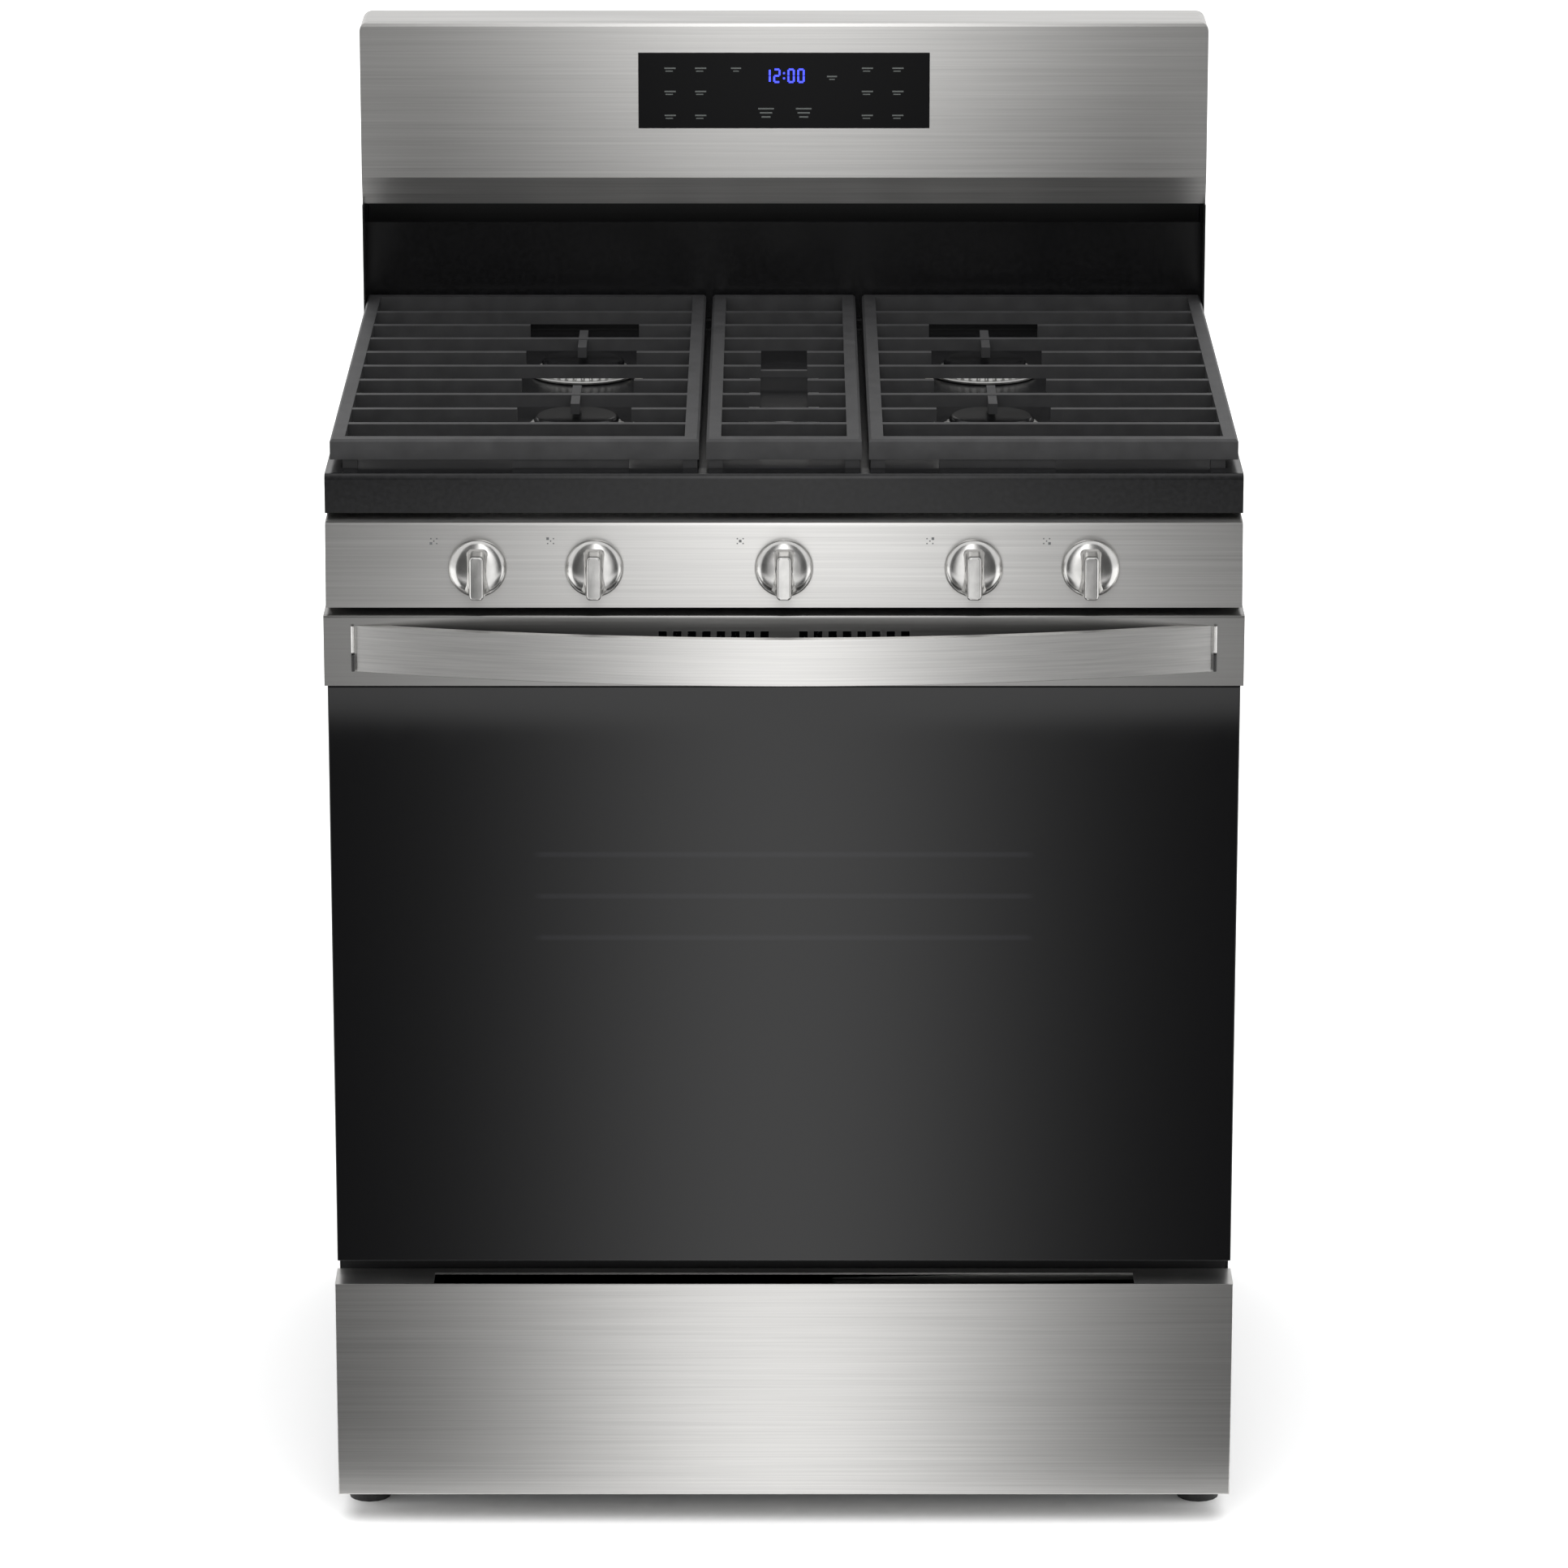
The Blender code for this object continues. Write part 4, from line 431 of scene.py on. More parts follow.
def galvanised_steel():
    """Hot-dipped galvanised sheet: zinc crystals (spangle) 8 to 15 mm across, each its own grey."""
    base = linear("#A9ACAE")
    material, shader, place = new_finish("galvanised_steel", base, 1.0, 0.42)
    crystals = add_node(material, "ShaderNodeTexVoronoi", {"Scale": 85.0}, {"Vector": place})
    tint = add_node(material, "ShaderNodeSeparateColor", {}, {"Color": crystals.outputs["Color"]})
    tone = add_node(material, "ShaderNodeValToRGB",
                    {"stops": ((0.0, shade(base, 0.78)), (1.0, shade(base, 1.05)))},
                    {"Fac": tint.outputs["Red"]})
    link(material, tone.outputs["Color"], shader, "Base Color")
    rough = add_node(material, "ShaderNodeMapRange", {"To Min": 0.34, "To Max": 0.52},
                     {"Value": tint.outputs["Green"]})
    link(material, rough.outputs["Result"], shader, "Roughness")
    return material


def braided_gasket():
    """Knitted glass-fibre cord: matt charcoal stitches about 2 mm long."""
    base = linear("#4A4743")
    material, shader, place = new_finish("gasket_cord", base, 0.0, 0.9, IOR=1.5)
    knit = add_node(material, "ShaderNodeTexWave", {"Scale": 160.0, "Distortion": 3.0, "Detail": 2.0,
                                                   "bands_direction": "DIAGONAL"}, {"Vector": place})
    tone = add_node(material, "ShaderNodeValToRGB",
                    {"stops": ((0.2, shade(base, 0.5)), (0.8, shade(base, 1.3)))},
                    {"Fac": knit.outputs["Fac"]})
    link(material, tone.outputs["Color"], shader, "Base Color")
    relief = add_node(material, "ShaderNodeBump", {"Strength": 0.8, "Distance": 0.5 * MM},
                      {"Height": knit.outputs["Fac"]})
    link(material, relief.outputs["Normal"], shader, "Normal")
    return material


def speckled(name, base, roughness, scale, spread=0.25, **more):
    """A non-metal with a fine even mottle: moulded nylon, fired ceramic or screen ink."""
    material, shader, place = new_finish(name, base, 0.0, roughness, **more)
    mottle = add_node(material, "ShaderNodeTexNoise", {"Scale": scale, "Detail": 2.0}, {"Vector": place})
    tone = add_node(material, "ShaderNodeValToRGB",
                    {"stops": ((0.3, shade(base, 1.0 - spread)), (0.7, shade(base, 1.0 + spread)))},
                    {"Fac": mottle.outputs["Fac"]})
    link(material, tone.outputs["Color"], shader, "Base Color")
    return material


def make_finishes():
    """Make every finish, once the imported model's plain ones are out of the way of their names."""
    for packed in list(bpy.data.materials):
        packed.name = "packed_" + packed.name
    colours = bpy.context.scene.range_colours
    made = (
        brushed_stainless(colours, "brushed_stainless", 0.29, 0.39, 0.75),
        # The handle's strap: the stainless lifted to 1.25 of its colour, duller and less streaked: painted
        # light, so it reads brighter than the flat front
        brushed_stainless(colours, "blasted_stainless", 0.36, 0.44, 0.60, 1.25),
        satin_stainless(colours), black_enamel(colours), cast_iron(colours), door_glass(colours),
        textured_paint(colours), oven_enamel(colours), galvanised_steel(), braided_gasket(),
        display_acrylic(colours),
        plain_glass("window_glass", linear("#17181A"), 0.05),
        cast_aluminium("burner_aluminium", "#BEBEBC", 0.42),
        # Die-cast zinc, satin-chromed: the knobs' bright finish
        cast_aluminium("knob_metal", "#D9D8D6", 0.20),
        drawn_metal("bright_steel", "#A8A8AA", 0.32, 300.0),
        # Nickel-chromed wire
        drawn_metal("rack_chrome", "#C9C9CB", 0.16, 120.0),
        # Zinc-plated screw steel
        drawn_metal("screw_zinc", "#B4B6B4", 0.34, 900.0),
        # Glass-filled nylon, moulded
        speckled("foot_nylon", linear("#242424"), 0.55, 1200.0),
        # Fired alumina of the spark electrodes
        speckled("electrode_ceramic", linear("#E8E4DA"), 0.35, 500.0, 0.06),
        # Ceramic screen ink
        speckled("panel_ink", linear("#58595A"), 0.60, 800.0, 0.1),
        speckled("display_ink", tuple(colours.ink), 0.60, 800.0, 0.1),
        # Borosilicate lamp cover
        speckled("lamp_glass", linear("#D8D6CC"), 0.12, 60.0, 0.04, Transmission_Weight=0.5),
    )
    digits, shader, place = new_finish("digit_glow", colours.digits, 0.0, 0.4)
    spread = add_node(digits, "ShaderNodeTexNoise", {"Scale": 600.0}, {"Vector": place})
    tone = add_node(digits, "ShaderNodeValToRGB",
                    {"stops": ((0.3, shade(colours.digits, 0.85)), (0.7, tuple(colours.digits)))},
                    {"Fac": spread.outputs["Fac"]})
    link(digits, tone.outputs["Color"], shader, "Base Color")
    link(digits, tone.outputs["Color"], shader, "Emission Color")
    shader.inputs["Emission Strength"].default_value = 1.6
    return made


# ---------------------------------------------------------------- mesh tools

def smooth_group(limit):
    """Geometry nodes that shade smooth across every edge flatter than a limit in degrees."""
    name = f"smooth_under_{limit}"
    if name in bpy.data.node_groups:
        return bpy.data.node_groups[name]
    group = bpy.data.node_groups.new(name, "GeometryNodeTree")
    group.interface.new_socket("Geometry", in_out="INPUT", socket_type="NodeSocketGeometry")
    group.interface.new_socket("Geometry", in_out="OUTPUT", socket_type="NodeSocketGeometry")
    make, join = group.nodes.new, group.links.new
    start, end = make("NodeGroupInput"), make("NodeGroupOutput")
    plain = make("GeometryNodeRemoveAttribute")
    plain.inputs["Name"].default_value = "custom_normal"
    faces = make("GeometryNodeSetShadeSmooth")
    faces.domain = "FACE"
    edges = make("GeometryNodeSetShadeSmooth")
    edges.domain = "EDGE"
    angle = make("GeometryNodeInputMeshEdgeAngle")
    flat = make("FunctionNodeCompare")
    flat.operation = "LESS_EQUAL"
    flat.inputs["B"].default_value = math.radians(limit)
    join(start.outputs[0], plain.inputs["Geometry"])
    join(plain.outputs[0], faces.inputs["Geometry"])
    join(faces.outputs[0], edges.inputs["Geometry"])
    join(angle.outputs["Unsigned Angle"], flat.inputs["A"])
    join(flat.outputs["Result"], edges.inputs["Shade Smooth"])
    join(edges.outputs[0], end.inputs[0])
    return group


def shade_smooth(item, limit=FOLD_ANGLE):
    item.modifiers.new("Smooth", "NODES").node_group = smooth_group(limit)


def soften(item, width, segments, limit):
    """Round an object's sharp edges with modifiers, leaving its own mesh alone."""
    weld = item.modifiers.new("Weld", "WELD")
    weld.merge_threshold = 0.01 * MM
    flat = item.modifiers.new("Flat faces", "DECIMATE")
    flat.decimate_type = "DISSOLVE"
    flat.angle_limit = math.radians(0.5)
    if width:
        bevel = item.modifiers.new("Edges", "BEVEL")
        bevel.width = width
        bevel.segments = segments
        bevel.limit_method = "ANGLE"
        bevel.angle_limit = math.radians(FOLD_ANGLE)
    shade_smooth(item, limit)
    if width:
        flatter = item.modifiers.new("Flat shading", "WEIGHTED_NORMAL")
        flatter.keep_sharp = True
        flatter.weight = 80


def dress(material, names, width=0.0, segments=2, limit=FOLD_ANGLE):
    """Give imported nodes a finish, and rounded edges where a width is given."""
    for name in names:
        item = NODES[name]
        for place in item.material_slots:
            place.link = "OBJECT"
            place.material = bpy.data.materials[material]
        soften(item, width, segments, limit)


def add_piece(name, bm, material, body, smooth=True):
    """A new piece from a bmesh, riding on a body."""
    mesh = bpy.data.meshes.new(name)
    bmesh.ops.recalc_face_normals(bm, faces=bm.faces)
    bm.to_mesh(mesh)
    bm.free()
    mesh.materials.append(bpy.data.materials[material])
    item = bpy.data.objects.new(name, mesh)
    bpy.context.scene.collection.objects.link(item)
    if smooth:
        shade_smooth(item)
    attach(item, body)
    return item


def loft(bm, rings, matrix=Matrix()):
    """A closed solid through rings of equal count, with flat ends."""
    rows = [[bm.verts.new(matrix @ Vector(p)) for p in ring] for ring in rings]
    count = len(rows[0])
    for lower, upper in zip(rows, rows[1:]):
        for i in range(count):
            j = (i + 1) % count
            bm.faces.new((lower[i], lower[j], upper[j], upper[i]))
    bm.faces.new(rows[0][::-1])
    bm.faces.new(rows[-1])


def circle(radius, height, count):
    turn = [2 * math.pi * i / count for i in range(count)]
    return [(radius * math.cos(a), radius * math.sin(a), height) for a in turn]


def spun(bm, profile, count, matrix=Matrix()):
    """A turned solid from (radius, height) points, its ends closed flat."""
    loft(bm, [circle(radius, height, count) for radius, height in profile], matrix)


def plate(bm, centre, width, height, thick, matrix=Matrix()):
    """A thin flat mark, in its own X and Z, standing a thickness forward."""
    x, z = centre
    ring = [(x - width / 2, 0, z - height / 2), (x + width / 2, 0, z - height / 2),
            (x + width / 2, 0, z + height / 2), (x - width / 2, 0, z + height / 2)]
    front = [(a, -thick, c) for a, _, c in ring]
    loft(bm, [ring, front], matrix)


def rounded(half, low, high, height, share=0.55, steps=6):
    """A level ring: a rectangle about X = 0 with round corners of a share of its half width."""
    bend = half * share
    corners_at = ((half - bend, high - bend, 0), (-half + bend, high - bend, 90),
                  (-half + bend, low + bend, 180), (half - bend, low + bend, 270))
    points = []
    for x, y, start in corners_at:
        for i in range(steps + 1):
            a = math.radians(start + 90 * i / steps)
            points.append((x + bend * math.cos(a), y + bend * math.sin(a), height))
    return points


def fused(first, second):
    """One closed mesh from the union of two bmeshes."""
    items = []
    for bm in (first, second):
        mesh = bpy.data.meshes.new("fusing")
        bmesh.ops.recalc_face_normals(bm, faces=bm.faces)
        bm.to_mesh(mesh)
        bm.free()
        items.append(bpy.data.objects.new("fusing", mesh))
        bpy.context.scene.collection.objects.link(items[-1])
    union = items[0].modifiers.new("Union", "BOOLEAN")
    union.operation = "UNION"
    union.solver = "EXACT"
    union.object = items[1]
    graph = bpy.context.evaluated_depsgraph_get()
    made = bpy.data.meshes.new_from_object(items[0].evaluated_get(graph))
    for item in items:
        bpy.data.objects.remove(item, do_unlink=True)
    made.materials.clear()
    return made


def screw_head(bm, matrix, radius):
    """A pan-head screw with a cross recess, its own -Y outward."""
    steps = 32
    outward = Matrix.Rotation(math.radians(90), 4, "X")
    arms = radius * 0.55
    slit = radius * 0.13

    def recess(height, share):
        points = []
        for i in range(steps):
            a = 2 * math.pi * i / steps
            near = min(abs(math.cos(a)), abs(math.sin(a)))
            reach = min(arms, slit / max(near, 1e-6)) if near > 1e-6 else arms
            r = reach * share
            points.append((r * math.cos(a), r * math.sin(a), height))
        return points

    rings = [circle(radius, 0, steps), circle(radius, radius * 0.25, steps),
             circle(radius * 0.92, radius * 0.45, steps), circle(radius * 0.70, radius * 0.56, steps),
             recess(radius * 0.58, 1.0), recess(radius * 0.20, 0.75)]
    loft(bm, rings, matrix @ outward)


# ---------------------------------------------------------------- pieces

class CabinetPieces(bpy.types.Operator):
    """Paint the cabinet's sides, base and rear cover, and screw the rear cover on"""
    bl_idname = "gas_range.cabinet"
    bl_label = "Cabinet"

    def execute(self, context):
        sizes = context.scene.range_sizes
        dress("textured_paint", ("side_panel_left", "side_panel_right", "oven_front_frame"))
        dress("galvanised_steel", ("base_frame", "rear_panel"))
        # The console's back is galvanised sheet; its black paint here is painted shade in the dark gap
        # under the console
        dress("textured_paint", ("console_back",))
        dress("foot_nylon", ("foot_front_left", "foot_front_right", "foot_rear_left", "foot_rear_right"))
        dress("bright_steel", ("gas_manifold",))
        dress("burner_aluminium", ("gas_regulator",), 0.8 * MM)
        low, high = corners("rear_panel")
        bm = bmesh.new()
        inset = 12 * MM
        third = 0.34
        head = sizes.screw * 0.62
        face = Matrix.Rotation(math.pi, 4, "Z")
        for x in (low.x + inset, low.x * third, high.x * third, high.x - inset):
            for z in (low.z + inset, (low.z + high.z) / 2, high.z - inset):
                place = Matrix.Translation((x, CAD_BOX[1][1] - head, z))
                screw_head(bm, place @ face, sizes.screw)
        add_piece("rear_screws", bm, "screw_zinc", "root")
        return {"FINISHED"}


class StagePieces(bpy.types.Operator):
    """Set the pale floor, the soft light, the graded light panels and the camera"""
    bl_idname = "gas_range.stage"
    bl_label = "Stage"

    def execute(self, context):
        stage = context.scene.range_stage
        scene = context.scene
        scene.view_settings.view_transform = "Standard"
        world = bpy.data.worlds.new("studio_white")
        scene.world = world
        world.use_nodes = True
        sky = world.node_tree.nodes["Background"]
        sky.inputs["Color"].default_value = (1.0, 1.0, 1.0, 1.0)
        sky.inputs["Strength"].default_value = stage.ambient
        matt_floor = new_finish("studio_floor", stage.floor, 0.0, 0.9)[0]
        half_floor = 30.0
        bm = bmesh.new()
        bmesh.ops.create_grid(bm, x_segments=1, y_segments=1, size=half_floor)
        self.add_stage("studio_floor", bm, matt_floor)
        lamp = bpy.data.lights.new("overhead", "SUN")
        lamp.energy = stage.overhead
        lamp.angle = math.radians(70)
        light = bpy.data.objects.new("overhead", lamp)
        light.rotation_euler = (math.radians(12), 0, 0)
        scene.collection.objects.link(light)
        light.visible_glossy = False
        self.light_panels(stage)
        camera = bpy.data.objects.new("camera", bpy.data.cameras.new("camera"))
        camera.location = (0.0, -stage.distance, stage.height)
        camera.rotation_euler = (math.radians(90) - stage.tilt, 0.0, 0.0)
        camera.data.sensor_width = 36.0
        camera.data.lens = stage.lens
        camera.data.clip_end = 100.0
        scene.collection.objects.link(camera)
        scene.camera = camera
        return {"FINISHED"}

    def add_stage(self, name, bm, material):
        mesh = bpy.data.meshes.new(name)
        bm.to_mesh(mesh)
        bm.free()
        mesh.materials.append(material)
        item = bpy.data.objects.new(name, mesh)
        bpy.context.scene.collection.objects.link(item)
        return item

    def light_panels(self, stage):
        """Panels on the floor and before the range that only gloss sees: bright down their middle,
        fading to the sides."""
        reach = 0.8
        half = 1.05
        tall = 3.0
        gap = 3 * MM
        front = CAD_BOX[0][1] - 4 * MM
        bm = bmesh.new()
        near = [bm.verts.new((x, front, gap)) for x in (-half, half)]
        far = [bm.verts.new((x, front - reach, gap)) for x in (-half, half)]
        high = [bm.verts.new((x, front - reach, tall)) for x in (-half, half)]
        bm.faces.new((near[0], near[1], far[1], far[0]))
        bm.faces.new((far[0], far[1], high[1], high[0]))
        finish = bpy.data.materials.new("graded_light")
        finish.use_nodes = True
        finish.node_tree.nodes.clear()
        place = add_node(finish, "ShaderNodeTexCoord")
        split = add_node(finish, "ShaderNodeSeparateXYZ", {}, {"Vector": place.outputs["Object"]})
        # The fade widens away from the range, so that it stays level in the front's reflection
        widen = add_node(finish, "ShaderNodeMapRange",
                         {"From Min": front, "From Max": front - reach, "To Min": stage.glow_width,
                          "To Max": stage.glow_width * (1.0 + reach / (stage.distance + front))},
                         {"Value": split.outputs["Y"]})
        # A wider band where the bowed handle looks, so that its ends stay as light as the flat front
        black, white = (0.0, 0.0, 0.0, 1.0), (1.0, 1.0, 1.0, 1.0)
        heights = ((0.0, black), (0.475, black), (0.50, white), (0.60, white), (0.70, black),
                   (tall, black))
        level = add_node(finish, "ShaderNodeMath", {"operation": "DIVIDE", 1: tall},
                         {0: split.outputs["Z"]})
        band = add_node(finish, "ShaderNodeValToRGB",
                        {"stops": [(height / tall, tint) for height, tint in heights]},
                        {"Fac": level.outputs["Value"]})
        extra = add_node(finish, "ShaderNodeMapRange", {"To Min": 1.0, "To Max": 3.7},
                         {"Value": band.outputs["Color"]})
        width = add_node(finish, "ShaderNodeMath", {"operation": "MULTIPLY"},
                         {0: widen.outputs["Result"], 1: extra.outputs["Result"]})
        share = add_node(finish, "ShaderNodeMath", {"operation": "DIVIDE"},
                         {0: split.outputs["X"], 1: width.outputs["Value"]})
        square = add_node(finish, "ShaderNodeMath", {"operation": "MULTIPLY"},
                          {0: share.outputs["Value"], 1: share.outputs["Value"]})
        minus = add_node(finish, "ShaderNodeMath", {"operation": "MULTIPLY", 1: -1.0},
                         {0: square.outputs["Value"]})
        bell = add_node(finish, "ShaderNodeMath", {"operation": "EXPONENT"}, {0: minus.outputs["Value"]})
        fade = add_node(finish, "ShaderNodeMapRange", {"To Min": 0.06, "To Max": 1.0},
                        {"Value": bell.outputs["Value"]})
        rise = add_node(finish, "ShaderNodeMapRange",
                        {"From Min": 0.9, "From Max": 1.7, "To Min": stage.glow,
                         "To Max": stage.glow_high},
                        {"Value": split.outputs["Z"]})
        strength = add_node(finish, "ShaderNodeMath", {"operation": "MULTIPLY"},
                            {0: fade.outputs["Result"], 1: rise.outputs["Result"]})
        glow = add_node(finish, "ShaderNodeEmission", {}, {"Strength": strength.outputs["Value"]})
        add_node(finish, "ShaderNodeOutputMaterial", {}, {"Surface": glow.outputs[0]})
        panels = self.add_stage("light_panels", bm, finish)
        for ray in ("camera", "diffuse", "transmission", "volume_scatter", "shadow"):
            setattr(panels, "visible_" + ray, False)


class ConsolePieces(bpy.types.Operator):
    """Finish the rear console and print its clock and touch marks"""
    bl_idname = "gas_range.console"
    bl_label = "Console"

    def execute(self, context):
        sizes = context.scene.range_sizes
        dress("brushed_stainless", ("console_shell",), sizes.edge, limit=LIP_ANGLE)
        dress("display_acrylic", ("control_glass",), 0.3 * MM)
        low, high = corners("control_glass")
        self.face = Matrix.Translation(((low.x + high.x) / 2, low.y - INK_LIFT, (low.z + high.z) / 2))
        self.print_marks(high - low)
        self.light_digits(high - low, sizes.digit)
        self.vent()
        return {"FINISHED"}

    def vent(self):
        """The oven's vent below the console: a comb of upright fins between two rails, in black paint that
        also stands in for the shade in the gap there.
        """
        clear = 0.3 * MM
        rail = 2 * MM
        depth = 8 * MM
        fins = 97
        fin = 1.6 * MM
        tuck = 0.4 * MM           # how far the fins stay inside the rails
        floor = corners("backguard_riser")[1].z + clear
        ceiling = corners("console_shell")[0].z - clear
        half = corners("backguard_riser")[1].x - 12 * MM
        back = corners("console_back")[0].y - clear
        bm = bmesh.new()
        blocks = [((-half, half), (back - depth, back), (floor, floor + rail)),
                  ((-half, half), (back - depth, back), (ceiling - rail, ceiling))]
        for i in range(fins):
            x = (half - 1.0 * MM) * (2 * i / (fins - 1) - 1)
            blocks.append(((x - fin / 2, x + fin / 2), (back - depth + tuck, back - tuck),
                           (floor + rail - tuck, ceiling - rail + tuck)))
        for xs, ys, zs in blocks:
            ring = [(xs[0], ys[0]), (xs[1], ys[0]), (xs[1], ys[1]), (xs[0], ys[1])]
            loft(bm, [[(x, y, z) for x, y in ring] for z in zs])
        add_piece("console_vent", bm, "textured_paint", "root", smooth=False)

    def print_marks(self, size):
        """Two columns of three touch marks each side, and small ones round the clock."""
        bm = bmesh.new()
        drop = 2.6 * MM           # from a mark's upper bar to its lower one

        def mark(x, z, upper, lower, shift=0.0):
            plate(bm, (x, z), upper, 1.3 * MM, INK_LIFT, self.face)
            plate(bm, (x - shift, z - drop), lower, 1.0 * MM, INK_LIFT, self.face)

        # Places are shares of the glass's width and height from its middle
        for side in (-1, 1):
            for step in (0.287, 0.392):
                for row in (0.30, -0.01, -0.33):
                    mark(side * step * size.x, row * size.z, 10 * MM, 6.5 * MM, 0.8 * MM)
        for x, z in ((-0.165, 0.30), (0.165, 0.19)):
            mark(x * size.x, z * size.z, 9 * MM, 5 * MM)
        for x in (-0.062, 0.068):
            for step in range(3):
                plate(bm, (x * size.x, (-0.24 - 0.055 * step) * size.z), (14 - 3 * step) * MM, 1.4 * MM,
                      INK_LIFT, self.face)
        add_piece("display_marks", bm, "display_ink", "root", smooth=False)

    def light_digits(self, size, tall):
        """Four seven-segment digits and a colon: 12:00."""
        shapes = {"1": "bc", "2": "abged", "0": "abcdef"}
        wide = tall * 0.5
        bar = tall * 0.13
        line = 0.20 * size.z      # the digits' middle above the glass's
        half = tall / 2 - bar / 2
        side = wide / 2 - bar / 2
        segments = {"a": (0, half, True), "g": (0, 0, True), "d": (0, -half, True),
                    "f": (-side, half / 2, False), "b": (side, half / 2, False),
                    "e": (-side, -half / 2, False), "c": (side, -half / 2, False)}
        bm = bmesh.new()
        pitch = wide * 1.35
        for figure, step in zip("1200", (-1.72, -0.72, 0.72, 1.72)):
            for letter in shapes[figure]:
                x, z, level = segments[letter]
                span = (wide - bar * 1.4, bar) if level else (bar, half - bar * 0.4)
                plate(bm, (step * pitch + x, line + z), *span, INK_LIFT, self.face)
        for z in (-0.18, 0.18):
            plate(bm, (0, line + z * tall), bar, bar, INK_LIFT, self.face)
        add_piece("clock_digits", bm, "digit_glow", "root", smooth=False)


class CooktopPieces(bpy.types.Operator):
    """Enamel the cooktop and riser, cast the grates, and cut the burners' flame ports"""
    bl_idname = "gas_range.cooktop"
    bl_label = "Cooktop"

    def execute(self, context):
        sizes = context.scene.range_sizes
        dress("black_enamel", ("cooktop",), 1.5 * MM, 3)
        dress("black_enamel", ("backguard_riser",), sizes.edge)
        dress("black_enamel", ["burner_cap_" + name for name in BURNERS], 1.2 * MM, 3)
        dress("burner_aluminium", ("burner_head_center",), 0.5 * MM)
        dress("cast_iron", ("grate_left", "grate_center", "grate_right"), sizes.iron_edge)
        for name in ROUND_BURNERS:
            self.burner_head(name, sizes)
            self.electrode(name)
        return {"FINISHED"}

    def burner_head(self, name, sizes):
        """A round head with flame ports cut in its rim."""
        node = "burner_head_" + name
        low, high = corners(node)
        centre = (low + high) / 2
        radius = (high.x - low.x) / 2
        neck = 10 * MM
        ports = 36
        steps = 6                 # points round the rim for each port, two of them in its cut

        def toothed(outer, height, depth=0.0):
            points = []
            for i in range(ports * steps):
                a = 2 * math.pi * i / (ports * steps)
                r = outer - (depth if i % steps < 2 else 0.0)
                points.append((r * math.cos(a), r * math.sin(a), height))
            return points

        bm = bmesh.new()
        top = corners("burner_cap_" + name)[0].z - GAP_UNDER_CAP
        base = top - RIM_HEIGHT
        rings = [toothed(neck, low.z), toothed(neck, base), toothed(radius - 1.0 * MM, base),
                 toothed(radius, base + 1.0 * MM), toothed(radius, base + 2.2 * MM),
                 toothed(radius - 0.8 * MM, base + 3.0 * MM),
                 toothed(radius - 4.0 * MM, base + 3.2 * MM, sizes.port_depth),
                 toothed(radius - 7.5 * MM, top, sizes.port_depth)]
        loft(bm, rings, Matrix.Translation((centre.x, centre.y, 0)))
        head = add_piece(node + "_ports", bm, "burner_aluminium", "root")
        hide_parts(node)

    def electrode(self, name):
        """A ceramic spark electrode with a wire tip, beside the head."""
        low, high = corners("burner_head_" + name)
        centre = (low + high) / 2
        inward = -1 if centre.x > 0 else 1
        away = (high.x - low.x) / 2 + 6 * MM
        place = Matrix.Translation((centre.x + inward * away * 0.94, centre.y - away * 0.34,
                                    high.z - RIM_HEIGHT - 0.2 * MM))
        # Radius and height of each turned section, in mm
        collar = ((3.5, 0.0), (3.5, 3.0), (2.6, 3.8), (2.6, 7.5), (2.0, 8.2))
        wire = ((0.8, 7.5), (0.8, 11.5), (0.5, 12.0))
        bm = bmesh.new()
        spun(bm, [(r * MM, h * MM) for r, h in collar], 20, place)
        add_piece("electrode_" + name, bm, "electrode_ceramic", "root")
        bm = bmesh.new()
        spun(bm, [(r * MM, h * MM) for r, h in wire], 12, place)
        add_piece("electrode_tip_" + name, bm, "bright_steel", "root")


